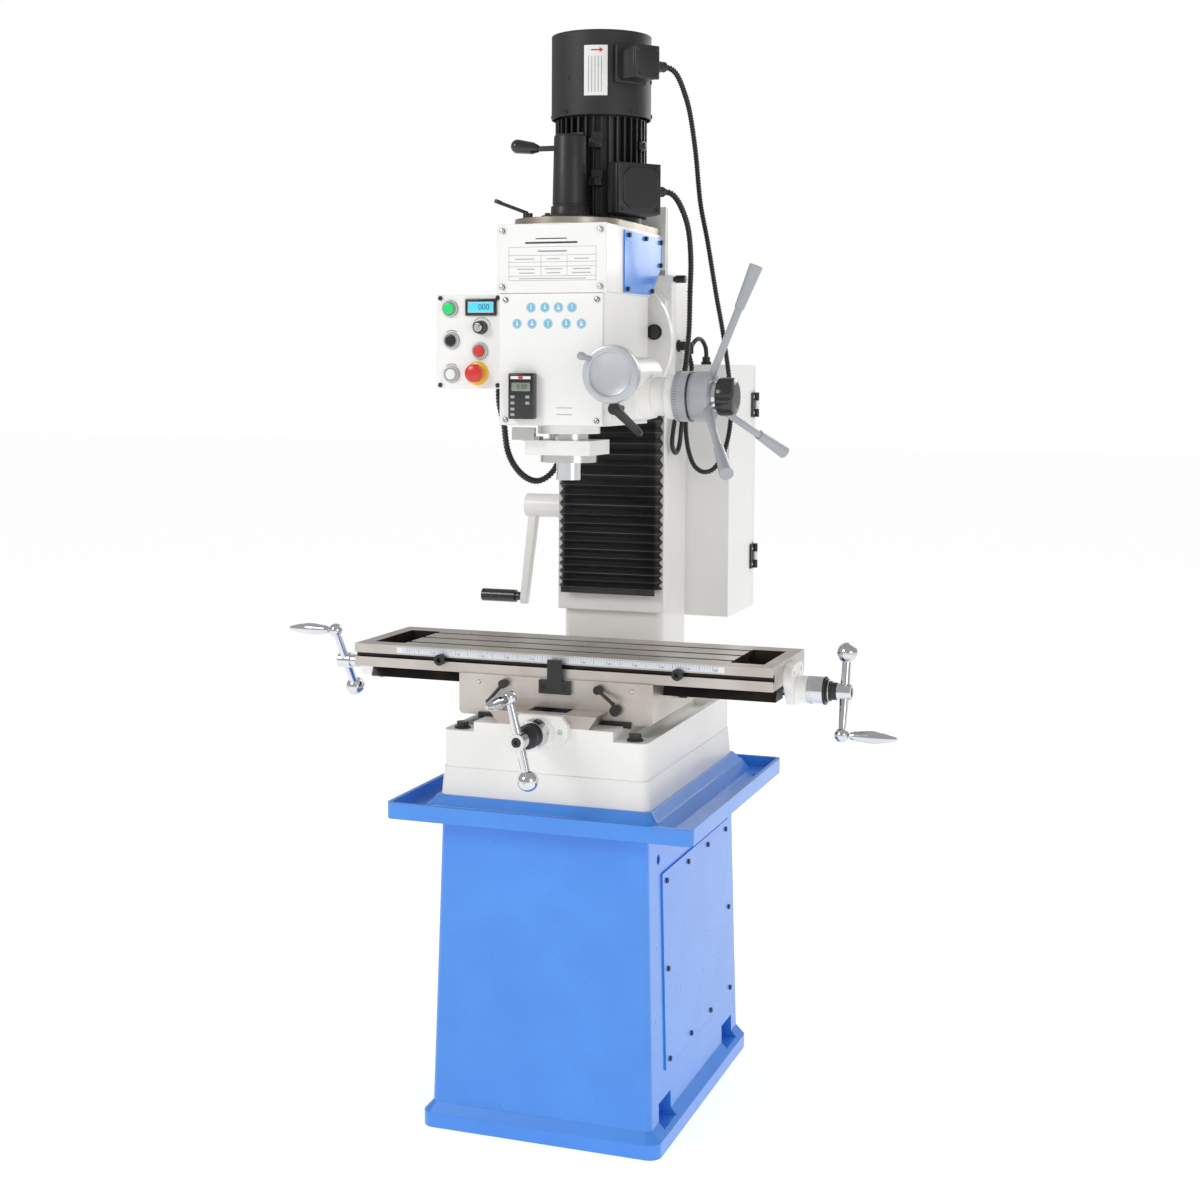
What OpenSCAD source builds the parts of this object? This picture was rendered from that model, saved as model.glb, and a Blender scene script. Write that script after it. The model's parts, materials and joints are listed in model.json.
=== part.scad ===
// Bench-style vertical milling machine on a sheet-metal stand.
// Units are millimetres. X is the operator's right, Y runs to the back, Z is up.
// The origin is the centre of the four floor-bolt holes, on the floor.

/* [View] */
// Sub-part to build

/* [Stand] */
// Foot width across the machine
foot_w = 464; // [400:1:560]
// Foot depth front to back
foot_d = 612; // [500:1:700]
// Height of the foot rim
foot_h = 27; // [15:1:50]
// Body width at the foot
stand_w0 = 430; // [360:1:520]
// Body width under the tray
stand_w1 = 400; // [340:1:500]
// Body depth at the foot
stand_d0 = 590; // [480:1:660]
// Body depth under the tray
stand_d1 = 572; // [460:1:640]
// Stand height
stand_h = 578; // [450:1:800]
// Sheet and rib wall
stand_wall = 5; // [3:0.5:10]
// Floor-bolt spacing across
bolt_x = 376; // [300:1:420]
// Floor-bolt spacing front to back
bolt_y = 418; // [340:1:480]
// Floor-bolt hole radius
bolt_r = 7; // [5:0.5:10]

/* [Chip tray] */
// Tray width
tray_w = 590; // [480:1:700]
// Tray depth
tray_d = 645; // [520:1:760]
// Rim height
tray_h = 30; // [20:1:60]
// Height of the raised pad above the rim
pad_rise = 15; // [0:1:30]

/* [Base casting] */
// Width at the bottom
base_w = 406; // [340:1:480]
// Depth
base_d = 557; // [460:1:640]
// Height of the side ledges above the pad
base_h = 121; // [90:1:160]
// Height of the centre deck above the pad
deck_h = 139; // [100:1:180]
// Height of the cross-slide dovetail
dove_h = 24; // [15:1:35]
// Half width of that dovetail at its top
dove_top = 104; // [80:1:130]
// Half width of that dovetail at its root
dove_root = 88; // [60:1:115]

/* [Table] */
// Table length
table_l = 820; // [600:5:1100]
// Table width
table_w = 240; // [180:5:320]
// Slab thickness
slab_h = 43; // [30:1:60]
// Work-surface T-slot mouth
tee_mouth = 14; // [10:1:18]
// Work-surface T-slot foot
tee_foot = 24; // [18:1:32]
// Table travel to each side
x_travel = 212; // [150:1:260]

/* [Column] */
// Column width
column_w = 208; // [160:1:260]
// Column depth behind the ways
column_d = 150; // [120:1:220]
// Height of the column top above the floor
column_top = 1722; // [1500:1:1900]
// Wall of the hollow casting
column_wall = 18; // [12:1:30]
// Ways width
ways_w = 220; // [160:1:260]
// Bellows folds
folds = 14; // [8:1:20]

/* [Head] */
// Height of the tilt axis above the floor
tilt_z = 1460; // [1300:1:1600]
// Head width
head_w = 204; // [160:1:260]
// Bottom face of the head
head_z0 = 1304; // [1200:1:1400]
// Top face of the head
head_z1 = 1667; // [1550:1:1800]
// Tilt flange radius
tilt_r = 140; // [110:1:160]
// Spindle distance in front of the frame's centre
spindle_y = 152; // [120:1:200]
// Quill radius
quill_r = 37.5; // [30:0.5:45]
// Spindle bore radius at the nose
nose_bore = 12.1; // [8:0.1:16]

/* [Motor] */
// Fan cowl radius
cowl_r = 94.5; // [70:0.5:120]
// Cowl top above the floor
cowl_top = 2033; // [1900:1:2200]
// Finned frame radius
frame_r = 87; // [60:1:110]
// Number of cooling fins
fins = 36; // [12:1:40]

/* [Handles] */
// Ball radius of the crank handles
ball_r = 18.5; // [12:0.5:24]
// Hub centre to ball
ball_reach = 71; // [50:1:100]
// Hub centre to grip
grip_reach = 78; // [50:1:110]
// Downfeed lever length from the axis
lever_l = 255; // [150:1:320]

/* [Hidden] */
$fn = 64;
// running gap of round fits and of sliding ways
run = 0.05;
// gap between parts that pass each other
pass = 0.3;
// heights of the stack
tray_z = stand_h;
rim_z = tray_z + tray_h;
pad_z = rim_z + pad_rise;
ledge_z = pad_z + base_h;
deck_z = pad_z + deck_h;
way_z = deck_z + dove_h;
// cross slide
base_y0 = -285;
base_y1 = base_y0 + base_d;
saddle_w = 380;
saddle_y0 = -223;
saddle_y1 = 22;
saddle_z = 840;
// table
table_y = -98;
slab_z0 = saddle_z + run;
table_z = saddle_z + slab_h;
ridge_h = 28;
// Y screw
ys_z = deck_z - 5;
// X screw
xs_z = 828;
screw_r = 8;
// column
col_y0 = 112;
col_y1 = col_y0 + column_d;
ways_y0 = 86;
ways_y1 = 104;
ways_z0 = 928;
// bellows
bel_z0 = 975;
car_z0 = 1330;
car_z1 = 1590;
// head
head_y0 = -244;
head_y1 = 8;
step_z = 1545;
rear_y = 78;
boss_z = 1288;
lid_z = head_z1 + 12;
// downfeed axis
cap_y = -130;
cap_z = 1358;
// fine feed axis
worm_x = 130;
worm_z = 1398;
// motor axis
mot_x = 12;
mot_y = -16;
mot_az = 52;
// colours
BLUE = [0.22, 0.52, 0.93];
CREAM = [0.93, 0.92, 0.88];
STEEL = [0.66, 0.64, 0.61];
CHROME = [0.82, 0.83, 0.85];
BLACK = [0.07, 0.07, 0.08];
GREY = [0.74, 0.75, 0.77];

// ---------- shared shapes ----------
module bx(x, y, z) {
  translate([x[0], y[0], z[0]]) cube([x[1] - x[0], y[1] - y[0], z[1] - z[0]]);
}
module cx(r, x, y, z) {
  translate([x[0], y, z]) rotate([0, 90, 0]) cylinder(r = r, h = x[1] - x[0]);
}
module cy(r, x, y, z) {
  translate([x, y[1], z]) rotate([90, 0, 0]) cylinder(r = r, h = y[1] - y[0]);
}
module cz(r, x, y, z) {
  translate([x, y, z[0]]) cylinder(r = r, h = z[1] - z[0]);
}
module rounded(w, d, r) {
  square([w - 2 * r, d], center = true);
  square([w, d - 2 * r], center = true);
  for (x = [-1, 1], y = [-1, 1]) translate([x * (w / 2 - r), y * (d / 2 - r)]) circle(r = r);
}
module slab(w, d, r, z) {
  translate([0, 0, z[0]]) linear_extrude(height = z[1] - z[0]) rounded(w, d, r);
}
// socket-head screw with its axis on +Z
module socket(r, h) {
  difference() {
    cylinder(r = r, h = h);
    translate([0, 0, h * 0.4]) cylinder(r = r * 0.5, h = h, $fn = 6);
  }
}
// section dragged along Y, drawn in X and Z
module along_y(y) {
  translate([0, y[1], 0]) rotate([90, 0, 0]) linear_extrude(height = y[1] - y[0]) children();
}
// section dragged along X, drawn in Y and Z
module along_x(x) {
  translate([x[0], 0, 0]) rotate([90, 0, 90]) linear_extrude(height = x[1] - x[0]) children();
}

// ---------- stand ----------
module stand_shell(grow, z0, z1) {
  hull() {
    translate([0, 0, z0]) linear_extrude(height = 1) rounded(stand_w0 + grow, stand_d0 + grow, 14);
    translate([0, 0, z1 - 1]) linear_extrude(height = 1) rounded(stand_w1 + grow, stand_d1 + grow, 14);
  }
}
function side_x(z) = (stand_w0 - (stand_w0 - stand_w1) * (z - foot_h) / (stand_h - foot_h)) / 2;
side_tilt = atan((stand_w0 - stand_w1) / 2 / (stand_h - foot_h));
// recess over a floor bolt, with its sheet lining when wall is above 0
module pocket(s, y, wall) translate([0, y * bolt_y / 2, 0])
  bx(s > 0 ? [bolt_x / 2 - 18 - wall, 260] : [-260, -bolt_x / 2 + 18 + wall],
     [-36 - wall, 36 + wall], [34 - 10 * wall, 80 + wall]);
module stand() color(BLUE) difference() {
  union() {
    slab(foot_w, foot_d, 24, [0, foot_h - 6]);
    hull() {
      translate([0, 0, foot_h - 6]) linear_extrude(height = 6) rounded(foot_w, foot_d, 24);
      translate([0, 0, foot_h + 18]) linear_extrude(height = 1) rounded(stand_w0, stand_d0, 14);
    }
    stand_shell(0, foot_h, stand_h);
  }
  difference() {
    stand_shell(-2 * stand_wall, 12, stand_h - 6);
    for (s = [-1, 1], y = [-1, 1]) pocket(s, y, 4);
  }
  for (s = [-1, 1], y = [-1, 1]) pocket(s, y, 0);
  bx([-140, 140], [-190, 190], [-1, 20]);
  bx([-120, 120], [-180, 180], [stand_h - 10, stand_h + 1]);
  // opening behind the access panel
  bx([150, 260], [-180, 212], [154, 462]);
  for (x = [-1, 1], y = [-1, 1]) cz(bolt_r, x * bolt_x / 2, y * bolt_y / 2, [-1, 35]);
  // eye for a lifting bar
  cx(9, [150, 260], -220, 522);
}
module chip_tray() color(BLUE) difference() {
  union() {
    slab(tray_w, tray_d, 14, [tray_z, rim_z]);
    hull() {
      translate([0, -6, rim_z - 8]) linear_extrude(height = 1) rounded(base_w + 46, base_d + 46, 20);
      translate([0, -6, pad_z - 1]) linear_extrude(height = 1) rounded(base_w + 10, base_d + 10, 12);
    }
  }
  difference() {
    slab(tray_w - 16, tray_d - 16, 8, [tray_z + 8, rim_z + 1]);
    hull() {
      translate([0, -6, tray_z + 7]) linear_extrude(height = 1) rounded(base_w + 70, base_d + 70, 24);
      translate([0, -6, rim_z + 2]) linear_extrude(height = 1) rounded(base_w + 36, base_d + 36, 18);
    }
  }
  cz(9, 262, 232, [tray_z - 1, rim_z]);
  bx([-120, 120], [-180, 180], [tray_z - 1, pad_z + 1]);
}
module access_panel() color(BLUE)
  translate([side_x(310) + run, 0, 310]) rotate([0, -side_tilt, 0]) difference() {
    translate([0, -206, -182]) cube([3, 444, 364]);
    for (y = [-182, -45, 88, 217]) cx(3.2, [-1, 4], y, 164);
    for (y = [-182, -45, 88, 230]) cx(3.2, [-1, 4], y, -168);
    for (y = [-182, 230]) cx(3.2, [-1, 4], y, 0);
  }

// ---------- base ----------
// dovetail section that widens upwards, with a short straight root below z0
module dove(top, root, z0, z1) {
  polygon([[-root, z0 - 1], [root, z0 - 1], [root, z0], [top, z1], [-top, z1], [-root, z0]]);
}
module base_casting() color(CREAM) difference() {
  union() {
    hull() {
      translate([0, base_y0 + base_d / 2, pad_z]) linear_extrude(height = 1) rounded(base_w, base_d, 16);
      translate([0, base_y0 + base_d / 2, pad_z + 52]) linear_extrude(height = 1)
        rounded(base_w - 10, base_d - 4, 16);
    }
    translate([0, base_y0 + base_d / 2, pad_z + 50]) linear_extrude(height = base_h - 50)
      rounded(base_w - 12, base_d - 6, 16);
    bx([-135, 135], [base_y0 + 3, base_y1 - 3], [ledge_z - 1, deck_z]);
    along_y([base_y0 + 3, 84]) dove(dove_top, dove_root, deck_z, way_z);
  }
  // hollow underside and screw trough
  bx([-183, 183], [base_y0 + 20, base_y1 - 20], [pad_z - 1, ledge_z - 20]);
  bx([-38, 38], [base_y0 + 24, 70], [ledge_z - 21, way_z + 1]);
  cy(screw_r + run, 0, [base_y0 - 1, base_y0 + 30], ys_z);
  // side troughs between the ledge corner blocks
  for (s = [-1, 1]) bx(s > 0 ? [146, 186] : [-186, -146], [base_y0 + 60, 190], [ledge_z - 14, ledge_z + 1]);
  for (x = [-168, 168], y = [base_y0 + 28, base_y1 - 40]) cz(7, x, y, [ledge_z - 21, ledge_z + 1]);
}
// hold-down bolts, panel screws, cabinet hinges and cable glands
module base_hardware() color(BLACK) {
  for (x = [-168, 168], y = [base_y0 + 28, base_y1 - 40]) {
    cz(15, x, y, [ledge_z, ledge_z + 3]);
    translate([x, y, ledge_z + 3]) cylinder(r = 12, h = 9, $fn = 6);
  }
  translate([side_x(310) + run, 0, 310]) rotate([0, -side_tilt, 0]) {
    for (y = [-182, -45, 88, 217]) translate([3, y, 164]) rotate([0, 90, 0]) socket(5, 3);
    for (y = [-182, -45, 88, 230]) translate([3, y, -168]) rotate([0, 90, 0]) socket(5, 3);
    for (y = [-182, 230]) translate([3, y, 0]) rotate([0, 90, 0]) socket(5, 3);
  }
  for (z = hinge_z) {
    bx([box_x1, box_x1 + 4], [box_y1 - 22, box_y1 - 2], [z - 26, z + 26]);
    cz(5, box_x1 + 6, box_y1 + 4, [z - 26, z - 9]);
    cz(5, box_x1 + 6, box_y1 + 4, [z + 9, z + 26]);
    cz(2.5, box_x1 + 6, box_y1 + 4, [z - 26, z + 26]);
    bx([box_x1 + 1, box_x1 + 4], [box_y1 - 3, box_y1 + 4], [z - 26, z - 9]);
    bx([box_x1 + 1, box_x1 + 4], [box_y1 - 3, box_y1 + 4], [z + 9, z + 26]);
  }
  for (g = glands) {
    translate([column_w / 2, g[0], g[1]]) rotate([0, 90, 0]) cylinder(r = 12, h = 5, $fn = 6);
    cx(9, [column_w / 2, g[2]], g[0], g[1]);
    translate([g[2], g[0], g[1]]) sphere(9);
    cz(9, g[2], g[0], [min(g[1], g[1] + g[3]), max(g[1], g[1] + g[3])]);
  }
  translate([box_gland[0], box_gland[1], box_z1]) {
    cylinder(r = 11, h = 6, $fn = 6);
    cylinder(r = 8, h = 16);
  }
}
module y_flange() color(CREAM) difference() {
  union() {
    along_y([base_y0 - 9, base_y0 + 3]) polygon([[-53, ys_z - 12], [-40, ys_z - 28], [40, ys_z - 28],
      [53, ys_z - 12], [53, ys_z + 12], [40, ys_z + 28], [-40, ys_z + 28], [-53, ys_z + 12]]);
    cy(25, 0, [base_y0 - 33, base_y0 - 8], ys_z);
  }
  cy(screw_r + run, 0, [base_y0 - 40, base_y0 + 4], ys_z);
  for (x = [-38, 38]) cy(5, x, [base_y0 - 10, base_y0 - 4], ys_z);
}
// scale cover and reader that stand beside the saddle
module scale_reader() color(BLACK) {
  bx([saddle_w / 2, 197], [-26, 20], [790, 836]);
  bx([saddle_w / 2, 204], [-60, -26], [790, 808]);
  cx(16, [196, 226], -3, 814);
  cx(13, [225, 250], -3, 814);
  for (i = [0 : 3]) cx(17, [228 + 6 * i, 231 + 6 * i], -3, 814);
}

// ---------- column ----------
module column() color(CREAM) difference() {
  union() {
    translate([0, (col_y0 + col_y1) / 2, deck_z]) linear_extrude(height = column_top - deck_z)
      rounded(column_w, column_d, 10);
    bx([-90, 90], [ways_y1, col_y0 + 12], [deck_z, column_top]);
    translate([0, 150, deck_z]) linear_extrude(height = ways_z0 - deck_z) rounded(column_w, 100, 14);
    bx([-130, 130], [100, base_y1 - 4], [deck_z, deck_z + 30]);
    // bearing boss of the height crank
    cx(26, [-136, -column_w / 2 + 2], 160, 1128);
  }
  bx([-column_w / 2 + column_wall, column_w / 2 - column_wall],
     [col_y0 + column_wall, col_y1 - column_wall], [deck_z - 1, column_top - 20]);
  cx(12 + run, [-140, -column_w / 2 + column_wall + 1], 160, 1128);
  for (x = [-1, 1], y = [112, 256]) cz(6, x * 118, y, [deck_z - 1, deck_z + 31]);
}
module column_ways() color(STEEL) difference() {
  translate([0, 0, ways_z0]) linear_extrude(height = column_top - ways_z0)
    polygon([[-ways_w / 2, ways_y0], [ways_w / 2, ways_y0], [ways_w / 2, ways_y0 + 4],
             [ways_w / 2 - 12, ways_y1], [-ways_w / 2 + 12, ways_y1], [-ways_w / 2, ways_y0 + 4]]);
  bx([-30, 30], [ways_y0 - 1, ways_y0 + 8], [bel_z0 + 15, column_top + 1]);
}
// folded way cover, one closed sheet
bel_step = (car_z0 - bel_z0) / (2 * folds);
function bel_ring(i) = let (o = i % 2 == 0 ? 0 : 1, w = 101 - 6 * o, f = 64 + 11 * o, b = 112,
                            z = bel_z0 + i * bel_step)
  [[-b, 85.5, z], [-w, f, z], [w, f, z], [b, 85.5, z],
   [b - 2, 85.5, z], [w - 1.5, f + 1.5, z], [-w + 1.5, f + 1.5, z], [-b + 2, 85.5, z]];
function flat(v) = [for (a = v) for (b = a) b];
module bellows() color(BLACK)
  polyhedron(points = flat([for (i = [0 : 2 * folds]) bel_ring(i)]),
    faces = concat(
      [[0, 1, 6, 7], [1, 2, 5, 6], [2, 3, 4, 5]],
      [for (i = [0 : 2 * folds - 1]) for (k = [0 : 7])
        [8 * i + k, 8 * i + 8 + k, 8 * i + 8 + (k + 1) % 8, 8 * i + (k + 1) % 8]],
      [for (t = [[7, 6, 1, 0], [6, 5, 2, 1], [5, 4, 3, 2]]) [for (k = t) 16 * folds + k]]));

// ---------- electrical cabinet ----------
box_x0 = -150;
box_x1 = 193;
box_y0 = col_y1;
box_y1 = 455;
box_z0 = 903;
box_z1 = 1418;
hinge_z = [1011, 1334];
module e_box() color(CREAM) difference() {
  bx([box_x0, box_x1], [box_y0, box_y1], [box_z0, box_z1]);
  bx([box_x0 + 2.5, box_x1 - 2.5], [box_y0 + 2.5, box_y1 + 1], [box_z0 + 2.5, box_z1 - 2.5]);
}
module e_box_door() color(CREAM) {
  difference() {
    bx([box_x0, box_x1], [box_y1 + 1, box_y1 + 15], [box_z0, box_z1]);
    bx([box_x0 + 2, box_x1 - 2], [box_y1, box_y1 + 13], [box_z0 + 2, box_z1 - 2]);
    for (z = hinge_z) bx([box_x1 - 3, box_x1 + 1], [box_y1, box_y1 + 11], [z - 28, z + 28]);
  }
  for (z = hinge_z) difference() {
    union() {
      cz(5, box_x1 + 6, box_y1 + 4, [z - 8.7, z + 8.7]);
      bx([box_x1 - 4, box_x1 + 5], [box_y1 + 11, box_y1 + 14], [z - 8.7, z + 8.7]);
      bx([box_x1 + 2.5, box_x1 + 5.5], [box_y1 + 5, box_y1 + 14], [z - 8.7, z + 8.7]);
    }
    cz(2.5 + run, box_x1 + 6, box_y1 + 4, [z - 10, z + 10]);
  }
  cy(12, box_x0 + 24, [box_y1 + 14, box_y1 + 22], 1164);
}

// ---------- cables ----------
// hand-laid route points, joined by a smooth curve
// elbow glands on the column's right side: y, z, x of the bend and reach up or down from it
glands = [[150, 1362, 126, 16], [178, 1390, 125, -16], [190, 1455, 128, -16]];
// x and y of the straight gland on the cabinet
box_gland = [133, 296];
fan_route = [[154, -63, 1964], [162, -52, 1962], [169, -36, 1952], [174, -12, 1928], [177, 20, 1890],
             [177, 60, 1820], [176, 98, 1730], [184, 124, 1655], [193, 156, 1555], [202, 175, 1482],
             [210, 192, 1400], [213, 200, 1345], [210, 204, 1291], [198, 206, 1243], [178, 206, 1210],
             [156, 205, 1202], [137, 204, 1214], [126, 203, 1240], [120, 203, 1270], [118, 203, 1305],
             [120, 202, 1346], [128, 200, 1386], [132, 196, 1412], [130, 192, 1428], [128, 190, 1439]];
motor_route = [[144, -38, 1738], [151, -29, 1738], [159, -18, 1732], [166, 0, 1715], [170, 28, 1686],
               [169, 52, 1654], [164, 78, 1608], [156, 100, 1558], [149, 120, 1490], [142, 131, 1446],
               [136, 139, 1414], [130, 146, 1392], [126, 150, 1378]];
signal_route = [[133, 296, 1434], [133, 296, 1442], [132, 293, 1454], [129, 280, 1467], [125, 262, 1470],
                [121, 241, 1460], [119, 222, 1440], [117, 206, 1410], [115, 196, 1385], [114, 182, 1358],
                [113, 160, 1330], [114, 136, 1295], [115, 122, 1265], [116, 127, 1249], [117, 140, 1242],
                [118, 153, 1249], [120, 159, 1265], [122, 162, 1295], [124, 168, 1330], [125, 176, 1358],
                [125, 178, 1374]];
panel_route = [[-130, -178, 1370], [-130, -178, 1358], [-128, -178, 1338], [-120, -176, 1301],
               [-119, -172, 1280], [-118, -164, 1255], [-114, -150, 1232], [-107, -130, 1212],
               [-98, -110, 1199], [-87, -92, 1194], [-75, -80, 1199], [-64, -73, 1210], [-56, -69, 1224],
               [-48, -66, 1250], [-45, -65, 1276], [-45, -65, 1286], [-45, -65, 1294]];
function mix(p, i, t) = let (a = p[max(i - 1, 0)], b = p[i], c = p[i + 1], d = p[min(i + 2, len(p) - 1)])
  0.5 * (2 * b + t * (c - a) + t * t * (2 * a - 5 * b + 4 * c - d) + t * t * t * (3 * b - a - 3 * c + d));
function curve(p, n) = concat([for (i = [0 : len(p) - 2]) for (k = [0 : n - 1]) mix(p, i, k / n)],
                              [p[len(p) - 1]]);
function unit(v) = v / norm(v);
function side(d) = unit(cross(d, abs(d[1]) > 0.9 ? [1, 0, 0] : [0, 1, 0]));
function tube_ring(c, d, r, m) = let (u = side(d), v = cross(d, u))
  [for (k = [0 : m - 1]) c + r * cos(360 * k / m) * u + r * sin(360 * k / m) * v];
module tube(route, r, n) {
  c = curve(route, n);
  m = 10;
  last = len(c) - 1;
  dirs = [for (i = [0 : last]) unit(c[min(i + 1, last)] - c[max(i - 1, 0)])];
  polyhedron(points = flat([for (i = [0 : last]) tube_ring(c[i], dirs[i], r, m)]),
    faces = concat([[for (k = [0 : m - 1]) k]],
      [for (i = [0 : last - 1]) for (k = [0 : m - 1])
        [i * m + k, (i + 1) * m + k, (i + 1) * m + (k + 1) % m, i * m + (k + 1) % m]],
      [[for (k = [m - 1 : -1 : 0]) last * m + k]]));
}
module fan_conduit() color(BLACK) tube(fan_route, 5.5, 3);
module motor_conduit() color(BLACK) tube(motor_route, 6, 3);
module signal_cable() color(BLACK) tube(signal_route, 4.5, 3);
module panel_conduit() color(BLACK) tube(panel_route, 6.5, 3);

// ---------- crank handles ----------
// axis on +Z, grip arm towards +Y, hub centred on the origin
module ball_crank(bore) difference() {
  union() {
    translate([0, 0, -13]) cylinder(r = 15, h = 26);
    rotate([-90, 0, 0]) cylinder(r1 = 9, r2 = 6.5, h = grip_reach);
    rotate([90, 0, 0]) cylinder(r1 = 9, r2 = 7.5, h = ball_reach);
    translate([0, -ball_reach, 0]) sphere(r = ball_r);
    translate([0, grip_reach, 0]) sphere(r = 13.5);
    translate([0, grip_reach, 0]) cylinder(r = 4, h = 70);
  }
  translate([0, 0, 4]) cylinder(r = bore, h = 20);
}
module crank_grip() translate([0, grip_reach, 0]) rotate_extrude()
  polygon([[4 + run, 15], [6.5, 15], [8.5, 22], [11.5, 48], [11.5, 62], [8, 84], [3.5, 100], [0, 100],
           [0, 74], [4 + run, 74]]);
hand_y = -395;
module at_y_handle() translate([0, hand_y, ys_z]) rotate([0, -14, 0]) rotate([90, 0, 0]) children();
module at_x_right() translate([513, table_y, xs_z]) rotate([-105, 0, 0]) rotate([0, 90, 0]) children();
module at_x_left() translate([-491, table_y, xs_z]) rotate([124, 0, 0]) rotate([0, -90, 0]) children();
module y_handle() color(CHROME) {
  at_y_handle() ball_crank(9);
  cy(screw_r, 0, [hand_y + 12, 50], ys_z);
  difference() {
    cy(27, 0, [base_y0 - 62, base_y0 - 33 - pass], ys_z);
    cy(22, 0, [base_y0 - 63, base_y0 - 54], ys_z);
  }
  cy(14, 0, [hand_y + 12, base_y0 - 54], ys_z);
}
module y_grip() color(CHROME) at_y_handle() crank_grip();
module x_handle_right() color(CHROME) {
  at_x_right() ball_crank(9);
  cx(screw_r, [-480, 501], table_y, xs_z);
  cx(25, [447 + pass, 476], table_y, xs_z);
  cx(20, [475, 486], table_y, xs_z);
  cx(12, [485, 501], table_y, xs_z);
}
module x_grip_right() color(CHROME) at_x_right() crank_grip();
module x_handle_left() color(CHROME) {
  difference() {
    at_x_left() ball_crank(9);
    cx(screw_r, [-482, -470], table_y, xs_z);
  }
  difference() {
    cx(12, [-479, -447 - pass], table_y, xs_z);
    cx(screw_r, [-480, -446], table_y, xs_z);
  }
}
module x_grip_left() color(CHROME) at_x_left() crank_grip();
crank_y = 160;
crank_z = 1128;
module z_crank() color(CREAM) {
  cx(24, [-206, -136 - pass], crank_y, crank_z);
  cx(12, [-137, -96], crank_y, crank_z);
  hull() {
    cx(11, [-200, -184], crank_y, crank_z - 14);
    cx(9, [-220, -206], crank_y, crank_z - 196);
  }
  cx(5, [-300, -206], crank_y, crank_z - 190);
}
module z_grip() color(BLACK) difference() {
  union() {
    cx(9, [-232, -222], crank_y, crank_z - 190);
    cx(13, [-306, -231.9], crank_y, crank_z - 190);
  }
  cx(5 + run, [-302, -221], crank_y, crank_z - 190);
}

// ---------- saddle and table ----------
module saddle() color(STEEL) difference() {
  union() {
    along_y([saddle_y0, saddle_y1]) polygon([[-190, saddle_z], [-190, deck_z + 7], [-185, deck_z + 2],
      [185, deck_z + 2], [190, deck_z + 7], [190, saddle_z]]);
    // lug that carries the cross-slide nut
    bx([-18, 18], [-110, -70], [ys_z - 16, way_z + 4]);
  }
  difference() {
    along_y([saddle_y0 - 1, saddle_y1 + 1]) dove(dove_top + run, dove_root + run, deck_z, way_z + run);
    bx([-18, 18], [-110, -70], [ys_z - 16, way_z + 4]);
  }
  bx([-dove_root - 6, dove_root + 6], [saddle_y0 - 1, saddle_y1 + 1], [deck_z - 1, deck_z + 2.01]);
  cy(screw_r + 0.3, 0, [-111, -69], ys_z);
  // table dovetail and the long screw channel
  difference() {
    along_x([-191, 191]) polygon([[table_y - 66 - run, saddle_z - ridge_h - run],
      [table_y + 66 + run, saddle_z - ridge_h - run], [table_y + 54 + run, saddle_z + 1],
      [table_y - 54 - run, saddle_z + 1]]);
    bx([-25, 25], [table_y - 12, table_y + 12], [saddle_z - ridge_h - 1, xs_z + 9]);
  }
  cx(screw_r + 0.3, [-26, 26], table_y, xs_z);
  for (x = [-98, 88]) cy(5 + run, x, [saddle_y0 - 1, saddle_y0 + 14], 826);
  cy(4 + run, 121, [saddle_y0 - 1, saddle_y0 + 12], 790);
}
module table_lock(x, ang) color(BLACK) {
  cy(5, x, [saddle_y0 - 4, saddle_y0 + 12], 826);
  cy(8, x, [saddle_y0 - 14, saddle_y0 - pass], 826);
  translate([x, saddle_y0 - 10, 826]) rotate([0, ang, 0]) rotate([-18, 0, 0]) {
    translate([0, 0, -42]) cylinder(r = 3.2, h = 40);
    translate([0, 0, -42]) sphere(r = 4.2);
  }
}
module table_lock_left() table_lock(-98, 38);
module table_lock_right() table_lock(88, -58);
module gib_knob() color(BLACK) {
  cy(4, 121, [saddle_y0 - 2, saddle_y0 + 10], 790);
  cy(10, 121, [saddle_y0 - 12, saddle_y0 - pass], 790);
}
module pointer_block() color(BLACK) {
  difference() {
    bx([-28, 33], [saddle_y0 - 8, saddle_y0], [813, 838]);
    for (x = [-18, 23]) cy(6, x, [saddle_y0 - 9, saddle_y0 - 3], 825);
  }
  bx([-11, 17], [saddle_y0 - 9, saddle_y0 - 4], [832, 876]);
  for (x = [-18, 23]) translate([x, saddle_y0 - 3, 825]) rotate([90, 0, 0]) socket(5.6, 4);
}
ty0 = table_y - table_w / 2;
ty1 = table_y + table_w / 2;
module table() color(STEEL) difference() {
  union() {
    bx([-table_l / 2, table_l / 2], [ty0, ty1], [slab_z0, table_z]);
    along_x([-table_l / 2 + 8, table_l / 2 - 8]) polygon([[table_y - 66, saddle_z - ridge_h],
      [table_y + 66, saddle_z - ridge_h], [table_y + 54, slab_z0 + 1], [table_y - 54, slab_z0 + 1]]);
  }
  // three work-surface slots, the front stop slot and the screw channel
  for (y = [-63, 0, 63]) {
    bx([-322, 322], [table_y + y - tee_mouth / 2, table_y + y + tee_mouth / 2], [table_z - 14, table_z + 1]);
    bx([-322, 322], [table_y + y - tee_foot / 2, table_y + y + tee_foot / 2], [table_z - 23, table_z - 13]);
  }
  bx([-table_l / 2 - 1, table_l / 2 + 1], [ty0 - 1, ty0 + 6], [858, 866]);
  bx([-table_l / 2 - 1, table_l / 2 + 1], [ty0 + 5, ty0 + 10], [855, 869]);
  bx([-table_l / 2 - 1, table_l / 2 + 1], [table_y - 13, table_y + 13], [saddle_z - ridge_h - 1, xs_z + 10]);
  // coolant pockets
  for (s = [-1, 1]) bx(s > 0 ? [321, 385] : [-385, -321], [ty0 + 34, ty1 - 40], [table_z - 28, table_z + 1]);
}
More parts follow.
